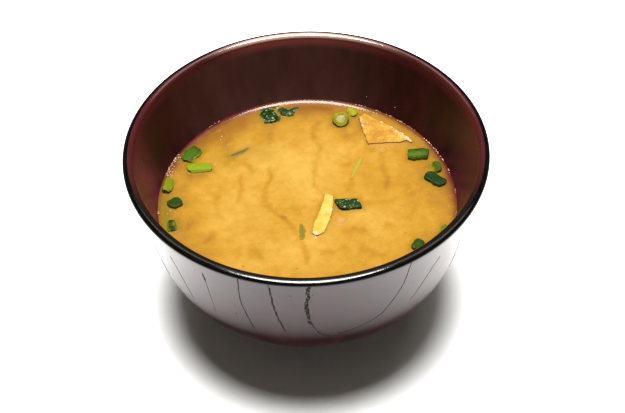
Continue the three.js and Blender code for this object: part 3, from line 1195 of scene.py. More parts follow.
@dataclass
class Broth:
    """The soup up to its level, climbing the wall and the toppings a little.

    Attributes:
        form: the bowl that holds it.
        toppings: the CAD nodes of what floats in it.
        rise: how far it climbs the wall.
        reach: how wide the climb is.
        collar: how far it climbs a scallion.
        tofu_collar: how many times further it climbs the tofu.
        segments: steps of the full turn.
        edge_rings: distances of its rings near the wall from where it meets that.
        surface_step: distance between the rings further in.
        vein_spread, vein_depth: how wide and dark the veins are as a whole.
        tofu_shade, green_haze: strength and reach of the shade at tofu and haze at greens.
        veins: lines and spots of settled or risen miso; the band along the back edge and the patch
            at the left back are painted shade.
        brown_bands: where it is in brown shade at the back.
        haze_bands: where greens show through it.
    """

    form: BowlForm
    toppings: Sequence[str]
    rise: float = 0.9
    reach: float = 2.3
    collar: float = 0.16
    tofu_collar: float = 1.7
    segments: int = 300
    edge_rings: Sequence[float] = (
        0.0, 0.15, 0.3, 0.5, 0.7, 0.9, 1.15, 1.4, 1.7, 2.0, 2.35, 2.7, 3.1,
    )
    surface_step: float = 0.45
    vein_spread: float = 1.25
    vein_depth: float = 0.72
    tofu_shade: Point2 = (0.3, 0.8)
    green_haze: Point2 = (0.55, 1.1)
    veins: tuple[Band, ...] = bands(
        ([(-11.0, 37.0), (-11.8, 32.0), (-12.5, 27.0)], 0.9, 0.42),
        ([(4.5, 37.0), (2.8, 31.5), (3.4, 27.5), (5.2, 24.0),
          (4.4, 21.0), (2.6, 16.0), (2.2, 6.5)], 0.8, 0.4),
        ([(2.6, 31.0), (5.0, 29.0)], 0.8, 0.2),
        ([(-13.0, 15.0), (-12.0, 10.0), (-14.2, 5.0), (-14.0, 0.0),
          (-11.5, -4.0), (-8.0, -8.0)], 0.8, 0.4),
        ([(-8.0, -8.0), (-5.0, -12.0), (-2.4, -17.5), (-1.2, -22.0), (-0.4, -27.0)], 0.8, 0.42),
        ([(-22.0, 12.0), (-21.8, 6.0), (-23.0, 1.0)], 0.8, 0.38),
        ([(26.5, 22.0), (25.0, 15.0), (26.8, 9.0), (26.0, 4.5)], 1.0, 0.42),
        ([(17.0, -1.2), (24.0, -2.2), (29.0, -1.0)], 0.9, 0.26),
        ([(15.0, -13.5), (17.5, -14.5)], 1.3, 0.6),
        ([(25.0, -11.8), (26.5, -12.2)], 1.1, 0.42),
        ([(17.0, -21.5), (20.0, -24.0), (23.0, -25.5)], 1.2, 0.4),
        ([(-17.0, -22.5), (-15.5, -24.0)], 1.4, 0.42),
        ([(-30.5, -14.5), (-32.5, -17.5)], 1.3, 0.42),
        ([(5.5, -22.5), (6.8, -23.5)], 1.0, 0.3),
        ([(-19.8, 17.5), (-18.4, 15.0)], 1.4, 0.36),
        ([(20.5, 24.5), (22.5, 22.5)], 1.2, 0.42),
        ([(12.5, 15.2), (14.5, 15.6)], 1.0, 0.34),
        ([(15.0, 8.5), (14.0, 4.5)], 0.8, 0.34),
        ([(20.0, 10.0), (19.0, 6.0)], 0.9, 0.24),
        ([(11.0, 35.0), (14.0, 31.0), (13.4, 28.0)], 1.5, 0.36),
        ([(19.0, 33.0), (17.0, 27.0)], 1.5, 0.3),
        ([(-27.0, 29.0), (-26.2, 24.0)], 1.0, 0.3),
        ([(-38.0, 12.8), (-34.0, 12.6)], 1.4, 0.5),
        ([(-28.0, 5.0), (-30.0, 0.0), (-28.0, -6.0)], 1.1, 0.24),
        ([(-36.0, -6.0), (-38.0, -10.0)], 1.6, 0.36),
        ([(33.0, 5.0), (35.0, -4.0), (32.0, -9.0)], 1.2, 0.24),
        # painted shade along the back edge
        ([(-3.0, 44.5), (4.0, 45.2), (10.0, 44.0)], 2.2, 0.75),
        ([(0.0, 8.0), (-4.0, 16.0)], 9.0, -0.22),
        ([(-14.0, 10.0), (-16.0, -4.0)], 9.0, -0.12),
        ([(8.0, 21.0), (15.0, 22.0)], 5.0, -0.12),
        ([(2.0, -20.0), (-12.0, -14.0)], 8.0, -0.05),
        ([(31.0, -20.0), (18.0, -32.0)], 7.0, 0.22),
        ([(41.0, -6.0), (39.0, 8.0)], 5.0, 0.22),
        # painted shade at the left back
        ([(-32.0, 32.0), (-25.0, 37.0)], 3.5, 0.5),
        ([(-8.0, -36.0), (6.0, -38.0)], 5.0, 0.2),
        ([(-38.0, -14.0), (-30.0, -26.0)], 5.0, 0.15),
        ([(11.4, -13.6), (13.0, -14.4)], 1.2, 0.3),
    )
    brown_bands: tuple[Band, ...] = bands(
        ([(-5.0, 44.2), (1.0, 44.8), (9.0, 43.8)], 1.6, 0.85),
        ([(-38.0, 25.0), (-30.0, 33.5), (-20.0, 40.5)], 3.2, 0.45),
    )
    haze_bands: tuple[Band, ...] = bands(
        ([(-46.5, 2.0), (-46.2, -4.0), (-45.5, -12.0)], 2.2, 0.75),
        ([(-46.0, 8.0), (-44.8, 3.0)], 1.6, 0.5),
        ([(44.0, 12.0), (45.0, 4.0)], 1.6, 0.35),
        ([(38.0, 24.0), (36.0, 27.0)], 1.6, 0.25),
        ([(-26.0, 21.5), (-20.5, 24.0)], 2.4, 0.55),
        ([(-30.0, 20.0), (-15.0, 24.0)], 5.0, 0.22),
    )

    @cached_property
    def level(self) -> float:
        """The level surface's height, from the CAD soup."""
        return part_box("soup")[1].z / MM - self.rise

    @cached_property
    def edge(self) -> float:
        """Radius of the line where the soup meets the wall."""
        return self.form.inner_radius(self.level + self.rise) + 0.12

    @cached_property
    def footprints(self) -> list[tuple[bool, np.ndarray]]:
        """Whether each topping is tofu, and its outline from above, from its CAD solid."""
        return [
            (name.startswith("tofu"), convex_outline(places_of(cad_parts[name].data)[:, :2]))
            for name in self.toppings
        ]

    def surface(self, places: np.ndarray) -> np.ndarray:
        """Height of the soup above its level.

        Args:
            places: N x 2 places.

        Returns:
            N heights.
        """
        flat = at_height(places)
        inward = np.clip((self.edge - np.linalg.norm(places, axis=1)) / self.reach, 0.0, 1.0)
        uneven = np.minimum(1.0 + 0.14 * fractal(flat, 5.0, 4.0), 1.0)
        height = self.rise * (1.0 - inward) ** 2 * uneven
        for is_tofu, outline in self.footprints:
            climb = self.collar * (self.tofu_collar if is_tofu else 1.0)
            height = np.maximum(height, climb * np.exp(-distance_outside(places, outline) / 0.45))
        return height + 0.02 * fractal(flat, 9.0, 2.0) + 0.006 * fractal(flat, 1.2, 5.0)

    def masks(self, places: np.ndarray) -> dict[str, np.ndarray]:
        """Where the broth is cloudy, thin, hazy or shaded.

        Args:
            places: N x 2 places.

        Returns:
            Values from 0 to 1 for each place, by the name that the finish reads.
        """
        flat = at_height(places)
        inward = self.edge - np.linalg.norm(places, axis=1)
        angle = np.arctan2(places[:, 1], places[:, 0])
        bent = places + 0.9 * np.column_stack([fractal(flat, 6.0, s) for s in (11.0, 19.0)])
        bent += 0.45 * np.column_stack([fractal(flat, 1.8, s) for s in (23.0, 29.0)])
        cloud = 0.64 + 0.2 * fractal(flat, 15.0, 31.0) + 0.12 * fractal(flat, 5.0, 37.0)
        cells = 1.0 - np.abs(fractal(flat + 2.0, 8.0, 41.0, 2)) * 7.0
        cloud -= 0.08 * np.clip(cells, 0.0, 1.0)
        for vein in self.veins:
            wide = replace(vein, width=self.vein_spread * vein.width)
            cloud -= self.vein_depth * wide.at(bent)
        # painted shade: the broth darkens towards the back, the left and the bowl's wall
        back = smoothstep(20.0, 46.0, places[:, 1])
        left = smoothstep(-24.0, -44.0, places[:, 0])
        near_wall = smoothstep(15.0, 2.0, inward)
        cloud -= 0.26 * back + 0.16 * left + 0.4 * near_wall * (1.0 - 0.5 * back)
        upper = smoothstep(-0.15, 0.35, np.sin(angle))
        left_back, right = falloff(angle - 2.35, 0.45), falloff(angle - 0.05, 0.35)
        strength = 0.35 + 0.45 * upper + 0.35 * left_back + 0.5 * right
        wander = 1.0 + 0.35 * fractal(flat, 4.0, 43.0)
        width = (1.1 + 0.6 * left_back + 1.0 * right + 0.4 * upper) * wander
        thin = falloff(inward, width) * np.clip(strength, 0.0, 1.0)
        brown = [band.at(bent) for band in self.brown_bands]
        haze = [band.at(bent) for band in self.haze_bands]
        for is_tofu, outline in self.footprints:
            strength, reach = self.tofu_shade if is_tofu else self.green_haze
            near = strength * falloff(distance_outside(places, outline), reach)
            (brown if is_tofu else haze).append(near)
        made = {"cloud": cloud, "thin": thin, "haze": np.max(haze, 0), "brown": np.max(brown, 0)}
        return {name: np.clip(values, 0.0, 1.0) for name, values in made.items()}

    def build(self) -> bpy.types.Object:
        """Makes the soup."""
        level, edge = self.level, self.edge
        below = [
            (max(0.0, radius - 0.3), height + 0.3)
            for radius, height in self.form.inner(60)
            if height < level - 1.0
        ]
        rings = [edge - inward for inward in self.edge_rings]
        step = self.surface_step
        rings += list(np.arange(rings[-1] - step, 0.4, -step))
        top = [(radius, level) for radius in (*rings, 0.0)]
        shell = lathe(np.array([*below, (edge - 0.25, level - 0.6), *top]), self.segments)
        first = len(shell.points) - len(rings) * self.segments - 1
        places = shell.points[first:, :2]
        shell.points[first:, 2] = level + self.surface(places)
        masks = {
            name: np.concatenate([np.zeros(first), values])
            for name, values in self.masks(places).items()
        }
        finish = BrothFinish("miso_broth", roughness=0.12, ior=1.24, relief=0.008)
        return declare(shell.to_object("miso_broth", [finish], masks=masks), "broth", "soup")


# ---------- what floats in it


def settle(piece: bpy.types.Object, node: str, turn: Matrix) -> None:
    """Turns a piece and lays the middle of its box on that of a CAD node.

    Args:
        piece: an object whose mesh is in its own frame.
        node: the CAD node.
        turn: its rotation.
    """
    low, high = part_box(node)
    turned = [turn @ v.co for v in piece.data.vertices]
    own = [Vector(end(p[i] for p in turned) for i in range(3)) for end in (min, max)]
    shift = (low + high) / 2 - (own[0] + own[1]) / 2
    piece.matrix_world = Matrix.Translation(shift) @ turn.to_4x4()


def lap(piece: bpy.types.Object, level: float, reach: float, seed: float) -> None:
    """Marks how far the soup laps over a floating piece, unevenly.

    Args:
        piece: the placed object.
        level: the soup's height in millimetres.
        reach: how far above the level the soup still tints it.
        seed: of the unevenness.
    """
    places = np.array([piece.matrix_world @ v.co for v in piece.data.vertices]) / MM
    above = places[:, 2] - level + 0.3 * reach * fractal(places, 1.6, seed)
    add_mask(piece.data, "sunk", smoothstep(reach, 0.02, above))


@dataclass
class Tofu:
    """A piece of fried tofu.

    Attributes:
        node: its CAD node.
        corners: its outline from above, from its own middle.
        thickness: of the slab.
        lean: its tilt in degrees.
        finish: its skin.
        seed: of its unevenness.
        froth: places from its middle where painted highlight flecks go, and how far they spread.
        level: of the soup that it floats in.
        curl: how far it bends up towards its ends.
        blister: depth of its uneven surface.
        torn: how uneven its edges are.
        grain: size of the small steps that its mesh is made in.
        lapped: how far above the level the soup's tint and painted light reach.
    """

    node: str
    corners: Path2
    thickness: float
    lean: float
    finish: TofuSkin
    seed: float
    froth: Sequence[Point3]
    level: float = 38.5
    curl: float = 0.003
    blister: float = 0.12
    torn: float = 0.22
    grain: float = 0.27
    lapped: float = 0.45

    def ragged_outline(self) -> np.ndarray:
        """The outline with torn, uneven edges."""
        ring = np.array([*self.corners, self.corners[0]], float)
        pieces = []
        for start, end in zip(ring[:-1], ring[1:]):
            count = max(1, int(np.linalg.norm(end - start) / 0.5))
            pieces.append(start + (end - start) * (np.arange(count)[:, None] / count))
        points = np.vstack(pieces)
        seeds = (self.seed, self.seed + 5)
        push = [fractal(at_height(points), 1.2, seed) for seed in seeds]
        return points + self.torn * np.column_stack(push)

    def softened_slab(self) -> bpy.types.Mesh:
        """A slab with the ragged outline, evenly remeshed and softened."""
        outline = self.ragged_outline()
        count = len(outline)
        points = np.vstack([at_height(outline, side * self.thickness / 2) for side in (-1, 1)])
        faces = [tuple(reversed(range(count))), tuple(range(count, 2 * count))]
        for i in range(count):
            j = (i + 1) % count
            faces.append((i, j, count + j, count + i))
        slab = Shell(points, faces).to_object(self.node + "_slab", [])
        remesh = slab.modifiers.new("even", "REMESH")
        remesh.mode = "VOXEL"
        remesh.voxel_size = self.grain * MM
        soften = slab.modifiers.new("soft", "SMOOTH")
        soften.factor = 0.5
        soften.iterations = 5
        ready = slab.evaluated_get(bpy.context.evaluated_depsgraph_get())
        mesh = bpy.data.meshes.new_from_object(ready)
        bpy.data.objects.remove(slab)
        return mesh

    def build(self) -> bpy.types.Object:
        """Makes the piece: the softened slab, blistered, pitted and curled."""
        mesh = self.softened_slab()
        place = places_of(mesh)
        normal = np.array([v.normal for v in mesh.vertices])
        polygons = [tuple(p.vertices) for p in mesh.polygons]
        bpy.data.meshes.remove(mesh)
        swell = self.blister * fractal(place, 2.6, self.seed + 1, 4)
        pits = np.array([noise.voronoi(Vector(p) / 0.9)[0][0] for p in place.tolist()])
        swell -= 0.1 * smoothstep(0.35, 0.0, pits)
        place = place + normal * swell[:, None]
        place[:, 2] += self.curl * (place[:, 0] ** 2 + place[:, 1] ** 2)
        # where the painted highlight flecks go
        wet_glints = [
            falloff(np.hypot(place[:, 0] - x, place[:, 1] - y), spread)
            for x, y, spread in self.froth
        ]
        shell, masks = Shell(place, polygons), {"froth": np.max(wet_glints, axis=0)}
        piece = shell.to_object("fried_" + self.node, [self.finish], 80.0, masks)
        settle(piece, self.node, Euler((math.radians(self.lean), 0, 0)).to_matrix())
        lap(piece, self.level, self.lapped, self.seed)
        return declare(piece, "fried_tofu", self.node)


class LeafForm(Enum):
    """How a cut of scallion is shaped."""

    PRESSED = "pressed"
    OPEN = "open"
    TROUGH = "trough"


@dataclass
class Scallion:
    """A cut of scallion green along its own X axis.

    Attributes:
        node: its CAD node.
        form: whether it is a pressed or open stalk or a slit one.
        length, width, height: its sizes.
        finish: its skin.
        slot: the record's material slot.
        turn, lean, pitch: its direction in degrees.
        slant: how far its ends are cut at an angle.
        bend: how far it bends along its length.
        wrinkle: depth of its unevenness.
        wall: thickness of the stalk's wall.
        core: the skin of the pale inner layers, if it has any.
        lapped: how far above its level the soup tints it.
        seed: of the unevenness.
        level: of the soup that it floats in.
        end_gap, end_shrink: length and depth of the bevel at its ends.
        ribs, trough_ribs: number and depth of the ribs of a stalk and of a slit one.
        ragged, rounded: how uneven its ends are, and how far they round off at the sides.
        around: points round its cross section.
        pressed_sides, open_sides: how blunt the sides of such a stalk are; 1 is an ellipse.
        core_profile: from which end, how far in from it, and what share of the hollow the
            core fills there.
    """

    node: str
    form: LeafForm
    length: float
    width: float
    height: float
    finish: LeafSkin
    slot: str
    turn: float = 0.0
    lean: float = 0.0
    pitch: float = 0.0
    slant: float = 0.0
    bend: float = 0.0
    wrinkle: float = 0.16
    wall: float = 0.6
    core: Optional[LeafSkin] = None
    lapped: float = 0.85
    seed: float = 1.0
    level: float = 38.5
    end_gap: float = 0.12
    end_shrink: float = 0.07
    ribs: tuple[int, float] = (17, 0.03)
    trough_ribs: tuple[int, float] = (23, 0.035)
    ragged: float = 0.3
    rounded: float = 0.5
    around: int = 44
    pressed_sides: float = 0.5
    open_sides: float = 0.85
    core_profile: tuple[tuple[int, float, float], ...] = (
        (-1, 0.5, 0.02), (-1, 0.35, 0.45), (-1, 0.3, 0.9), (-1, 0.6, 1.0), (1, 0.4, 1.0),
        (1, 0.12, 0.95), (1, 0.02, 0.75), (1, -0.1, 0.5), (1, -0.12, 0.25), (1, -0.1, 0.02),
    )

    def stations(self) -> list[Point2]:
        """Places along the leaf and how far the section shrinks there."""
        half = self.length / 2
        reach = half - self.end_gap
        inner = np.linspace(-reach, reach, max(8, int(self.length * 2.4)))
        ends = [(-half, self.end_shrink), (half, self.end_shrink)]
        return [ends[0], *((float(x), 0.0) for x in inner), ends[1]]

    @property
    def hollow(self) -> Point2:
        """Half the width and half the height of the stalk's hollow."""
        return self.width / 2 - self.wall, max(self.height / 2 - self.wall, 0.1)

    def stalk_loop(self, shrink: float, inside: bool) -> np.ndarray:
        """The section of a pressed or open stalk.

        Args:
            shrink: how much smaller it is all round.
            inside: whether it is the hollow's section.

        Returns:
            Places across the leaf.
        """
        angles = np.linspace(0, 2 * np.pi, self.around, endpoint=False)
        blunt = self.pressed_sides if self.form is LeafForm.PRESSED else self.open_sides
        number, depth = self.ribs
        ribs = depth * np.cos(number * angles + self.seed)
        halves = [size / 2 - shrink + ribs for size in (self.width, self.height)]
        if inside:
            halves = list(self.hollow)
        turns = (np.cos(angles), np.sin(angles))
        return np.column_stack(
            [half * np.sign(t) * np.abs(t) ** blunt for half, t in zip(halves, turns)]
        )

    def trough_loop(self, shrink: float) -> np.ndarray:
        """The section of a slit stalk, hollow side down."""
        wall = max(self.wall, 0.62 * self.height)
        rise = self.height - wall
        radius = (self.width**2 / 4 + rise**2) / (2 * rise)
        sweep = math.asin(min(1.0, self.width / 2 / radius)) - shrink / radius
        angles = np.linspace(-sweep, sweep, self.around // 2)
        number, depth = self.trough_ribs
        ribs = depth * np.cos(number * angles + self.seed)
        upper, lower = (
            np.column_stack([-np.sin(angles) * r, rise / 2 - radius + np.cos(angles) * r])
            for r in (radius + wall / 2 - shrink + ribs, radius - wall / 2 + shrink)
        )
        return np.vstack([upper, lower[::-1]])

    def shaped(self, points: np.ndarray) -> np.ndarray:
        """Slants, bends and wrinkles the leaf's points."""
        flat = points.reshape(-1, 3)
        half = self.length / 2

        def uneven(x: float, y: float, z: float, size: float, shift: float) -> np.ndarray:
            """Noise of the leaf, stretched along its axes."""
            return fractal(flat * np.array([x, y, z]), size, self.seed + shift)

        end = smoothstep(half - 1.0, half, np.abs(flat[:, 0]))
        ragged = self.ragged * uneven(0.0, 1.0, 0.3, 1.1, 3)
        ragged -= self.rounded * (flat[:, 1] / (self.width / 2)) ** 4
        swell = 1.0 + 0.16 * uneven(1.0, 0.0, 0.0, 2.5, 5)
        moved = flat.copy()
        moved[:, 0] += np.sign(flat[:, 0]) * end * ragged + self.slant * flat[:, 1]
        moved[:, 1] *= swell * (1.0 - 0.1 * end)
        moved[:, 1] += 0.3 * uneven(1.0, 0.0, 0.0, 3.5, 8)
        moved[:, 2] += self.wrinkle * uneven(0.5, 1.0, 0.4, 1.5, 0) + self.bend * flat[:, 0] ** 2
        return moved.reshape(points.shape)

    def across(self, rows: Iterable[tuple[float, np.ndarray]]) -> np.ndarray:
        """Sections put at their places along the leaf, then shaped."""
        loops = [np.column_stack([np.full(len(loop), x), loop]) for x, loop in rows]
        return self.shaped(np.array(loops))

    def shell(self) -> Shell:
        """The leaf's closed surface in its own frame."""
        stations = self.stations()
        if self.form is LeafForm.TROUGH:
            return loft(self.across((x, self.trough_loop(shrink)) for x, shrink in stations))
        rows = [(x, self.stalk_loop(shrink, False)) for x, shrink in stations]
        rows += [(x, self.stalk_loop(0.0, True)) for x, _ in reversed(stations)]
        return loft(self.across(rows), ringed=True)

    def core_shell(self) -> Shell:
        """The pale inner layers that fill the hollow of a young stalk."""
        loop = self.stalk_loop(0.0, True) * 1.1
        rows = [
            (side * (self.length / 2 - inward), loop * share)
            for side, inward, share in self.core_profile
        ]
        return loft(self.across(rows)).dressed(1)

    def tint(self, points: np.ndarray) -> np.ndarray:
        """How far the core has turned green at each point: none in its middle."""
        if self.core is None:
            return np.zeros(len(points))
        out = np.linalg.norm(points[:, 1:] / np.array(self.hollow), axis=1)
        flat = points * np.array([0.0, 1.0, 1.0])
        return smoothstep(0.45, 1.1, out + 0.25 * fractal(flat, 1.2, self.seed))

    def build(self) -> bpy.types.Object:
        """Makes the leaf where its CAD node lies."""
        shell, finishes = self.shell(), [self.finish]
        if self.core is not None:
            shell = Shell.joined([shell, self.core_shell()])
            finishes.append(self.core)
        masks = {"tint": self.tint(shell.points)}
        piece = shell.to_object("cut_" + self.node, finishes, masks=masks)
        turn = Euler([math.radians(a) for a in (self.lean, self.pitch, self.turn)])
        settle(piece, self.node, turn.to_matrix())
        lap(piece, self.level, self.lapped, self.seed)
        return declare(piece, self.slot, self.node)


@dataclass
class Bubbles:
    """Bubbles at the wall and on the soup, half sunk.

    Attributes:
        broth: the soup that they float on.
        seed: of their sizes and places.
        froth: how many small ones gather at the left wall.
        froth_turns: from where to where they gather, in degrees.
        beads: directions of the drops that cling to the wall.
        bead_rise: how far above the soup these cling.
        cluster: how many sit together at each place along the wall.
        at_wall: places and sizes of these clusters.
        loose: places and sizes of the single ones.
        finish: their skin, pale: the froth's own colour together with painted highlight for the
            shine of clear bubbles.
    """

    broth: Broth
    seed: int = 11
    froth: int = 60
    froth_turns: Point2 = (152.0, 165.0)
    beads: tuple[Point2, ...] = ((33.0, 41.5), (22.9, 47.7))
    bead_rise: float = 3.5
    cluster: int = 5
    at_wall: tuple[Point3, ...] = (
        (18.5, 43.6, 0.5), (20.0, 43.8, 0.35), (25.0, 40.7, 0.4), (27.7, 38.0, 0.45),
        (29.6, 37.0, 0.25), (31.7, 36.1, 0.45), (32.8, 34.8, 0.3), (34.2, 32.7, 0.4),
        (35.9, 31.9, 0.35), (40.1, 25.5, 0.55), (41.2, 23.4, 0.5), (42.3, 21.4, 0.55),
        (43.0, 19.5, 0.4), (44.2, 17.4, 0.35), (45.2, 16.0, 0.5), (46.6, 10.9, 0.45),
        (47.9, 2.0, 0.35), (47.6, -8.4, 0.3), (-30.6, 37.3, 0.35), (-33.0, 35.9, 0.3),
        (-43.3, 19.9, 0.6), (-44.2, 17.6, 0.4), (-45.0, 15.4, 0.45), (-45.6, 13.2, 0.35),
        (-46.3, -3.8, 0.5), (-45.2, -13.2, 0.45),
    )
    loose: tuple[Point3, ...] = (
        (40.6, -5.6, 0.28), (30.3, -3.5, 0.32), (-26.3, 27.2, 0.38), (-13.4, -28.7, 0.3),
        (-43.6, -11.9, 0.55), (-44.6, -3.4, 0.42), (-45.4, -4.6, 0.36), (-29.5, 34.2, 0.34),
        (33.6, -0.3, 0.2), (-12.6, -28.3, 0.22), (8.5, -26.6, 0.18), (-26.8, 26.6, 0.22),
    )
    # pale: the froth's own colour together with painted highlight
    finish: Film = Film(
        "bubble_skin", roughness=0.16, ior=1.33, colour=(0.3, 0.2, 0.13), shade=(0.22, 0.12, 0.055)
    )

    def dome(self, place: Point3, radius: float, squat: float) -> Shell:
        """One bubble: a round skin, flattened below."""
        outline = [
            (
                radius * math.cos(a) if abs(a) < 1.56 else 0.0,
                radius * math.sin(a) * (squat if a > 0 else 0.5),
            )
            for a in np.radians(np.linspace(-90.0, 90.0, 9))
        ]
        return lathe(np.array(outline), 14).moved(Matrix.Translation(place))

    def build(self) -> bpy.types.Object:
        """Makes all bubbles as one piece."""
        draw = np.random.default_rng(self.seed)
        shells = []
        level, wall = self.broth.level, self.broth.edge
        for x, y, radius in self.at_wall:
            for _ in range(self.cluster):
                size = 0.62 * radius * draw.uniform(0.35, 1.0)
                turn = math.atan2(y, x) + draw.normal(0.0, 0.015)
                out = wall - size * 0.9 - draw.uniform(0.0, 0.35)
                shells.append(self.dome(on_circle(out, turn, level + 0.75), size, 0.8))
        for x, y, radius in self.loose:
            shells.append(self.dome((x, y, level), 0.7 * radius, 0.75))
        for _ in range(self.froth):
            turn = math.radians(draw.uniform(*self.froth_turns))
            size = draw.uniform(0.1, 0.26)
            inward = draw.exponential(0.7)
            rise = 0.75 * max(0.0, 1.0 - inward / 2.5) ** 2
            place = on_circle(wall - size - inward, turn, level + rise)
            shells.append(self.dome(place, size, 0.7))
        high = level + self.broth.rise + self.bead_rise
        out = self.broth.form.inner_radius(high) - 0.05
        for x, y in self.beads:
            shells.append(self.dome(on_circle(out, math.atan2(y, x), high), 0.16, 1.0))
        return declare(Shell.joined(shells).to_object("bubbles", [self.finish]), "broth")


@dataclass
class Grains:
    """Grains of miso that float up, in the broth's skin.

    Attributes:
        broth: the soup that they float in.
        count: how many there are.
        seed: of their places.
        spread: radius within which they float.
        profile: radius and height of a grain of size 1.
        finishes: of the pale and of the dark grains.
    """

    broth: Broth
    count: int = 150
    seed: int = 5
    spread: float = 46.0
    profile: Path2 = ((0.0, -0.5), (0.75, -0.35), (1.0, 0.0), (0.7, 0.4), (0.0, 0.55))
    finishes: tuple[Film, ...] = (
        Film("pale_grain", 0.6, 1.3, colour=(0.34, 0.2, 0.06), shade=(0.28, 0.15, 0.03)),
        Film("dark_grain", 0.6, 1.3, colour=(0.16, 0.055, 0.006), shade=(0.12, 0.04, 0.005)),
    )

    def build(self) -> bpy.types.Object:
        """Makes all grains as one piece."""
        draw = np.random.default_rng(self.seed)
        shells = []
        for _ in range(self.count):
            out = self.spread * math.sqrt(draw.uniform(0.0, 1.0))
            angle = draw.uniform(0.0, 2 * math.pi)
            grain = lathe(np.array(self.profile) * draw.uniform(0.07, 0.2), 7)
            grain.points *= 1.0 + 0.25 * draw.normal(size=(len(grain.points), 1))
            grain.points[:, 0] *= draw.uniform(0.8, 1.6)
            place = Matrix.Translation(on_circle(out, angle, self.broth.level - 0.02))
            spin = Matrix.Rotation(draw.uniform(0.0, math.pi), 4, "Z")
            shells.append(grain.moved(place @ spin).dressed(int(draw.integers(0, 2))))
        return declare(Shell.joined(shells).to_object("miso_grains", self.finishes), "broth")


@dataclass(frozen=True)
class Sliver:
    """A thin shred of scallion just under the surface.

    Attributes:
        path: its course from above.
        widths: its width at the start, middle and end.
        slot: its finish number.
    """

    path: Path2
    widths: Point3
    slot: int


def shred(name: str, ior: float, *tones: Colour, **extra: Any) -> LeafSkin:
    """A shred's skin from its colour, stripe, side, end and drowned tones."""
    colour, stripe, side, end, drowned = tones
    return LeafSkin(
        name, 0.4, ior, colour=colour, stripe=stripe, side=side, end=end, drowned=drowned, **extra
    )


@dataclass
class Slivers:
    """The thin shreds of scallion.

    Attributes:
        broth: the soup that holds them.
        thickness: half of a shred's height.
        around: points round a shred's cross section.
        step: distance between a shred's cross sections.
        shreds: all of them.
        finishes: one for each slot number.
    """

    broth: Broth
    thickness: float = 0.14
    around: int = 10
    step: float = 0.4
    shreds: tuple[Sliver, ...] = (
        Sliver([(-26.0, 21.2), (-23.5, 22.4), (-21.3, 23.7), (-19.0, 25.4)], (1.2, 2.2, 1.1), 0),
        Sliver([(18.7, 19.4), (17.4, 16.0), (16.1, 13.1), (14.8, 9.0)], (1.3, 1.7, 0.8), 1),
        Sliver([(-2.3, -10.6), (-1.9, -13.5), (-2.0, -17.4)], (1.1, 2.4, 1.3), 2),
        Sliver([(-15.6, 43.9), (-12.4, 44.9), (-9.2, 45.6)], (1.0, 1.7, 1.3), 3),
        Sliver([(-9.0, 42.7), (-8.7, 44.1), (-7.4, 45.3)], (1.2, 1.9, 1.0), 3),
        Sliver([(-9.4, 37.9), (-9.0, 39.6), (-8.6, 41.3)], (0.7, 1.4, 1.0), 3),
        Sliver([(-4.6, 44.0), (-3.4, 44.6), (-2.0, 44.8)], (1.3, 1.7, 1.2), 3),
    )
    finishes: tuple[LeafSkin, ...] = (
        shred("sunk_shred", 1.15, (0.04, 0.038, 0.003), (0.085, 0.07, 0.01),
              (0.04, 0.034, 0.005), (0.075, 0.055, 0.008), (0.17, 0.09, 0.008)),
        shred("pale_shred", 1.15, (0.15, 0.135, 0.007), (0.2, 0.17, 0.028),
              (0.13, 0.12, 0.01), (0.15, 0.135, 0.013), (0.19, 0.1, 0.009)),
        shred("olive_shred", 1.15, (0.05, 0.055, 0.002), (0.12, 0.095, 0.01),
              (0.075, 0.07, 0.006), (0.075, 0.07, 0.006), (0.18, 0.095, 0.008)),
        shred("dark_shred", 1.2, (0.006, 0.014, 0.003), (0.014, 0.03, 0.006),
              (0.006, 0.012, 0.003), (0.02, 0.025, 0.004), (0.04, 0.04, 0.004), glints=0.6),
    )

    def build(self) -> bpy.types.Object:
        """Makes all shreds as one piece."""
        shells = []
        sunk: list[np.ndarray] = []
        angles = 2 * np.pi * np.arange(self.around) / self.around
        for number, strip in enumerate(self.shreds):
            course = smooth_path(np.array(strip.path), self.step)
            share = np.linspace(0.0, 1.0, len(course))
            widths = np.interp(share, [0.0, 0.5, 1.0], strip.widths)
            ahead = np.gradient(course, axis=0)
            ahead /= np.linalg.norm(ahead, axis=1)[:, None]
            loops = []
            for place, way, width, s in zip(course, ahead, widths, share):
                width *= 1.0 + 0.25 * noise.noise(Vector((9 * s, number, 0.5)))
                across = np.array([-way[1], way[0]]) * 0.5 * width
                side = place - across * np.cos(angles)[:, None]
                rise = self.thickness * np.sin(angles) + 0.02 + 0.05 * math.sin(7 * s)
                loops.append(np.column_stack([side, self.broth.level + rise]))
                wet = np.abs(np.cos(angles)) ** 4 + abs(2 * s - 1) ** 8 + 0.1
                sunk.append(np.minimum(1.0, wet))
            shells.append(loft(np.array(loops)).dressed(strip.slot))
        joined, masks = Shell.joined(shells), {"sunk": np.concatenate(sunk)}
        piece = joined.to_object("scallion_shreds", self.finishes, masks=masks)
        return declare(piece, "mid_green")


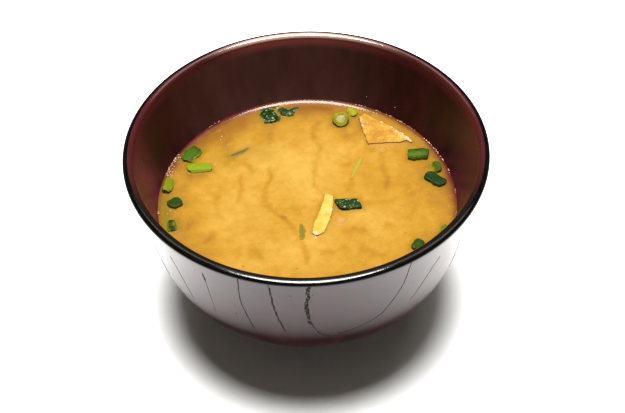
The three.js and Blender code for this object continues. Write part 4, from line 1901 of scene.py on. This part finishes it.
@dataclass
class Flecks:
    """Soft bits of tofu that lie just in the surface.

    Attributes:
        broth: the soup that holds them.
        outlines: corners of each from above, counterclockwise, and its finish number.
        profile: share of the outline and height above the level, from below to the top.
        finishes: one for each finish number.
    """

    broth: Broth
    outlines: tuple[tuple[Path2, int], ...] = (
        (((7.5, -7.4), (8.4, -11.4), (11.9, -11.5), (12.7, -8.9), (10.5, -6.6)), 0),
        (((24.2, 22.6), (26.0, 21.6), (27.4, 22.9), (25.6, 24.2)), 0),
        (((27.6, 24.6), (29.2, 23.4), (30.2, 24.8), (28.8, 26.0)), 0),
        (((-21.2, -28.0), (-20.6, -28.9), (-19.8, -28.2), (-20.5, -27.4)), 1),
    )
    profile: tuple[Point2, ...] = (
        (0.05, -0.3), (0.85, -0.25), (1.0, -0.05), (0.95, 0.01), (0.8, 0.05), (0.55, 0.09),
        (0.28, 0.12), (0.04, 0.13),
    )
    finishes: tuple[TofuSkin, ...] = (
        TofuSkin(
            "sunk_tofu", 0.4, 1.2, colour=(0.235, 0.115, 0.018), deep=(0.2, 0.085, 0.008),
            pale=(0.265, 0.15, 0.04), drowned=(0.2, 0.1, 0.008),
        ),
        TofuSkin(
            "orange_crumb", 0.4, 1.2, colour=(0.25, 0.07, 0.004), deep=(0.2, 0.05, 0.003),
            pale=(0.27, 0.09, 0.006), drowned=(0.2, 0.09, 0.006),
        ),
    )

    def build(self) -> bpy.types.Object:
        """Makes all of them as one piece."""
        shells = []
        sunk: list[np.ndarray] = []
        for corners, number in self.outlines:
            ring = smooth_path(np.array([*corners, corners[0]], float), 0.3)[:-1]
            ring = ring[: len(ring) // 2 * 2]
            middle = ring.mean(axis=0)
            uneven = 1.0 + 0.25 * fractal(at_height(ring), 0.9, 61.0)
            out = (ring - middle) * uneven[:, None]
            loops = []
            for share, rise in self.profile:
                loops.append(at_height(middle + out * share, self.broth.level + rise))
                sunk.append(np.full(len(ring), min(1.0, 0.25 + share**2)))
            shells.append(loft(np.array(loops)).dressed(number))
        joined, masks = Shell.joined(shells), {"sunk": np.concatenate(sunk)}
        return declare(joined.to_object("tofu_flecks", self.finishes, masks=masks), "fried_tofu")


# ---------- studio


class Outline(Enum):
    """The shape of a soft light."""

    ROUND = "ELLIPSE"
    SQUARE = "RECTANGLE"


@dataclass(frozen=True)
class Panel:
    """A soft light that faces the bowl.

    Attributes:
        name: of the light.
        place: of its middle in metres.
        size: width and height in metres.
        watts: its power.
        colour: of its light.
        outline: the shape of it.
        aim: the point that it faces, in metres.
    """

    name: str
    place: Point3
    size: Point2
    watts: float
    colour: Colour = (1.0, 0.99, 0.975)
    outline: Outline = Outline.SQUARE
    aim: Point3 = (0.0, 0.0, 0.04)

    def build(self) -> None:
        """Hangs the light."""
        data = bpy.data.lights.new(self.name, "AREA")
        data.shape = self.outline.value
        data.size, data.size_y = self.size
        data.energy = self.watts
        data.color = self.colour
        lamp = add_object(self.name, data)
        lamp.location = self.place
        ahead = Vector(self.aim) - lamp.location
        lamp.rotation_euler = ahead.to_track_quat("-Z", "Y").to_euler()


def turned(a: Vector, b: Vector, degrees: float) -> tuple[Vector, Vector]:
    """Two directions at right angles, turned from the first towards the second."""
    cos, sin = math.cos(math.radians(degrees)), math.sin(math.radians(degrees))
    return a * cos + b * sin, b * cos - a * sin


@dataclass
class Studio:
    """Floor, light and camera.

    Attributes:
        form: the bowl that the camera looks at.
        distance: from the camera to the rim's middle.
        elevation: of the camera above it, in degrees.
        sideways, upwards: how far the view is turned off the rim's middle, in degrees.
        roll: of the camera.
        lens: focal length for this sensor.
        sensor: width of the camera's sensor.
        panels: the soft lights.
        room: strength of the faint light from all sides.
        room_colour: its colour.
        floor_reach: half the floor's width in metres.
        floor_tone: how pale the floor is.
    """

    form: BowlForm
    distance: float = 420.0
    elevation: float = 43.5584
    sideways: float = -0.2137
    upwards: float = -2.5333
    roll: float = -1.5645
    lens: float = 77.06
    sensor: float = 36.0
    panels: tuple[Panel, ...] = (
        Panel("key", (0.0, 0.155, 1.65), (0.88, 0.82), 104.0, outline=Outline.ROUND),
        Panel("ceiling", (0.12, 0.15, 1.75), (1.2, 1.2), 1.6, (1.0, 0.95, 0.84)),
        Panel("back_wall", (0.1, 0.6, 1.2), (1.4, 0.36), 4.5, (1.0, 0.97, 0.9)),
    )
    room: float = 0.08
    room_colour: Colour = (1.0, 0.94, 0.78)
    floor_reach: float = 2.5
    floor_tone: float = 0.93

    def camera(self) -> None:
        """Sets the camera."""
        rise = math.radians(self.elevation)
        middle = Vector((0.0, 0.0, self.form.lip_centre[1] * MM))
        back = Vector((0.0, -math.cos(rise), math.sin(rise))) * self.distance * MM
        ahead = -back.normalized()
        right = ahead.cross(Vector((0.0, 0.0, 1.0))).normalized()
        up = right.cross(ahead)
        ahead, right = turned(ahead, right, -self.sideways)
        ahead, up = turned(ahead, up, self.upwards)
        right, up = turned(right, up, self.roll)
        data = bpy.data.cameras.new("camera")
        data.lens, data.sensor_width, data.clip_start = self.lens, self.sensor, 0.01
        camera = add_object("camera", data)
        facing = Matrix((right, up, -ahead)).transposed().to_4x4()
        camera.matrix_world = Matrix.Translation(middle + back) @ facing
        bpy.context.scene.camera = camera

    def lights(self) -> None:
        """Sets the soft lights and the faint room light."""
        for panel in self.panels:
            panel.build()
        world = bpy.data.worlds.new("room")
        world.use_nodes = True
        shade = world.node_tree.nodes["Background"]
        shade.inputs["Color"].default_value = (*self.room_colour, 1.0)
        shade.inputs["Strength"].default_value = self.room
        bpy.context.scene.world = world
        bpy.context.scene.view_settings.view_transform = "Standard"

    def floor(self) -> None:
        """Lays the plain pale floor."""
        mesh = bpy.data.meshes.new("floor")
        sides = ((-1, -1), (1, -1), (1, 1), (-1, 1))
        corners = [(x * self.floor_reach, y * self.floor_reach, 0.0) for x, y in sides]
        mesh.from_pydata(corners, [], [(0, 1, 2, 3)])
        pale, duller = (self.floor_tone,) * 3, (self.floor_tone - 0.01,) * 3
        finish = Film("floor_paint", roughness=0.8, colour=pale, shade=duller)
        mesh.materials.append(finish.material())
        floor = add_object("floor", mesh)

    def build(self) -> None:
        """Sets up all three."""
        self.camera()
        self.lights()
        self.floor()


# ---------- everything in place


def leaf(name: str, colour: Colour, stripe: Colour, **extra: Any) -> LeafSkin:
    """A leaf's skin that is one green all over unless extra says otherwise."""
    given = {"side": colour, "end": colour, **extra}
    return LeafSkin(name, roughness=0.45, ior=1.125, colour=colour, stripe=stripe, **given)


DEEP_GREEN, DEEP_STRIPE = (0.007, 0.0155, 0.0005), (0.014, 0.034, 0.001)
MID_GREEN, MID_STRIPE = (0.022, 0.036, 0.001), (0.04, 0.062, 0.002)
LIME_GREEN, LIME_STRIPE = (0.08, 0.116, 0.001), (0.112, 0.15, 0.003)
OLIVE_GREEN, OLIVE_STRIPE = (0.076, 0.084, 0.001), (0.1, 0.115, 0.003)
PALE_GREEN, PALE_STRIPE = (0.14, 0.135, 0.006), (0.17, 0.16, 0.014)
NIGHT_GREEN = (0.0042, 0.0125, 0.0005)
CREAM, CREAM_STRIPE = (0.23, 0.195, 0.09), (0.26, 0.225, 0.11)


def tofu_pieces(level: float) -> list[Tofu]:
    """The two pieces of fried tofu, in soup of this level."""
    made = [
        Tofu("tofu_wedge",
             [(-9.0, 7.9), (-6.6, 9.8), (-3.0, 6.9), (2.1, 3.4), (7.6, -2.4), (9.0, -4.8),
              (7.8, -4.7), (6.5, -3.4), (5.2, -4.4), (-0.5, -4.5), (-6.3, -4.9), (-7.7, 1.4)],
             2.4, 2.0, TofuSkin("golden_skin", roughness=0.45, ior=1.2), 2.0,
             [(4.2, 1.6, 1.1), (6.0, -0.4, 1.5), (7.6, -2.4, 1.4), (8.6, -4.0, 1.0),
              (2.4, 3.2, 0.6), (-8.4, 6.4, 0.7), (-8.0, 3.6, 0.6), (-7.6, 0.6, 0.5),
              (-1.0, 5.4, 0.5)]),
        Tofu("tofu_strip",
             [(1.1, 9.9), (4.0, 8.9), (3.5, 3.4), (2.2, -2.1), (0.3, -7.0), (-2.1, -8.4),
              (-3.5, -7.2), (-3.0, -3.4), (-1.5, 0.9), (-0.2, 4.8)],
             2.0, 1.0, TofuSkin("pale_skin", 0.45, 1.2, colour=(0.285, 0.19, 0.029),
                                deep=(0.258, 0.155, 0.017), pale=(0.3, 0.215, 0.047)),
             9.0, [(-2.3, -7.5, 0.75), (3.0, 2.8, 0.5), (2.9, 1.4, 0.4)]),
    ]
    return [replace(piece, level=level) for piece in made]


def scallions(level: float) -> list[Scallion]:
    """The cuts of scallion that are large enough to be solids, in soup of this level."""
    pressed, opened, trough = LeafForm.PRESSED, LeafForm.OPEN, LeafForm.TROUGH
    made = [
        Scallion("scallion_centre", pressed, 7.8, 4.7, 2.2,
                 leaf("centre_leaf", NIGHT_GREEN, DEEP_STRIPE, glints=0.65), "dark_green",
                 turn=4, slant=-0.33, lapped=0.8, seed=1.3),
        Scallion("scallion_right_back", opened, 7.0, 4.8, 3.2,
                 leaf("right_back_leaf", (0.03, 0.053, 0.001), (0.052, 0.082, 0.002),
                      side=DEEP_GREEN, side_range=(-0.8, 0.6), end=(0.01, 0.022, 0.001)),
                 "mid_green", turn=-2, slant=0.1, seed=2.1),
        Scallion("scallion_right", pressed, 7.4, 4.2, 2.2,
                 leaf("right_leaf", (0.0032, 0.0105, 0.0008), DEEP_STRIPE), "dark_green",
                 turn=-40, slant=0.1, seed=3.2),
        Scallion("scallion_right_leaf", trough, 4.2, 2.8, 1.3,
                 leaf("right_small_leaf", MID_GREEN, MID_STRIPE), "mid_green",
                 turn=-72, lean=25, lapped=1.2, seed=4.4),
        Scallion("scallion_left_leaf", trough, 7.2, 4.8, 1.9,
                 leaf("left_leaf", (0.019, 0.042, 0.001), (0.04, 0.07, 0.002),
                      end=(0.007, 0.018, 0.001), end_range=(1.0, 3.4)),
                 "mid_green", turn=62, bend=-0.02, seed=5.1),
        Scallion("scallion_left_bright", trough, 8.0, 3.2, 1.8,
                 leaf("left_bright_leaf", LIME_GREEN, LIME_STRIPE), "lime_green",
                 turn=4, slant=-0.2, lapped=0.9, seed=6.6),
        Scallion("scallion_wall_bright", pressed, 5.6, 3.0, 1.4,
                 leaf("wall_bright_leaf", OLIVE_GREEN, OLIVE_STRIPE), "lime_green",
                 turn=80, lean=25, lapped=1.2, seed=7.3),
        Scallion("scallion_left_dark", pressed, 4.4, 4.1, 1.9,
                 leaf("left_dark_leaf", DEEP_GREEN, DEEP_STRIPE), "dark_green",
                 turn=32, slant=-0.15, seed=8.8),
        Scallion("scallion_left_low", trough, 4.6, 3.4, 1.5,
                 leaf("left_low_leaf", (0.006, 0.015, 0.002), DEEP_STRIPE), "dark_green",
                 turn=-78, lapped=0.85, seed=9.2),
        Scallion("scallion_back_dark", trough, 7.0, 4.8, 1.8,
                 leaf("back_dark_leaf", NIGHT_GREEN, DEEP_GREEN, glints=0.6), "dark_green",
                 turn=-66, bend=-0.03, wrinkle=0.3, lapped=0.5, seed=10.4),
        Scallion("scallion_back_small", trough, 4.6, 3.2, 1.5,
                 leaf("back_small_leaf", NIGHT_GREEN, DEEP_STRIPE, glints=0.6), "dark_green",
                 turn=-14, wrinkle=0.3, lapped=0.5, seed=11.5),
        Scallion("scallion_ring", opened, 4.2, 5.4, 4.8,
                 leaf("ring_leaf", PALE_GREEN, PALE_STRIPE), "pale_green",
                 turn=-90, pitch=-48, wall=0.7, lapped=3.0,
                 core=leaf("creamy_core", CREAM, CREAM_STRIPE), seed=12.7),
        Scallion("scallion_back_bright", trough, 4.2, 2.3, 1.3,
                 leaf("back_bright_leaf", PALE_GREEN, PALE_STRIPE), "pale_green",
                 turn=-66, lapped=1.0, seed=13.1),
        Scallion("scallion_front_right", pressed, 4.2, 3.4, 1.9,
                 leaf("front_right_leaf", (0.0085, 0.019, 0.0008), DEEP_STRIPE), "dark_green",
                 turn=62, lapped=1.0, seed=14.9),
        Scallion("scallion_rim_sliver", pressed, 7.4, 1.8, 1.4,
                 leaf("rim_sliver_leaf", (0.02, 0.032, 0.003), DEEP_STRIPE), "dark_green",
                 turn=66, lapped=1.2, seed=15.2),
    ]
    return [replace(piece, level=level) for piece in made]


def main() -> None:
    """Builds everything in order."""
    logging.basicConfig(level=logging.INFO, format="%(relativeCreated)d ms %(name)s: %(message)s")
    form = BowlForm()
    level = Broth(form, ()).level
    tofu, greens = tofu_pieces(level), scallions(level)
    Studio(form).build()
    Bowl(form).build()
    DrawnLines(form).build()
    broth = Broth(form, [p.node for p in (*tofu, *greens)])
    broth.build()
    for topping in (*tofu, *greens):
        topping.build()
    Bubbles(broth).build()
    Grains(broth).build()
    Slivers(broth).build()
    Flecks(broth).build()


if __name__ == "__main__":
    main()
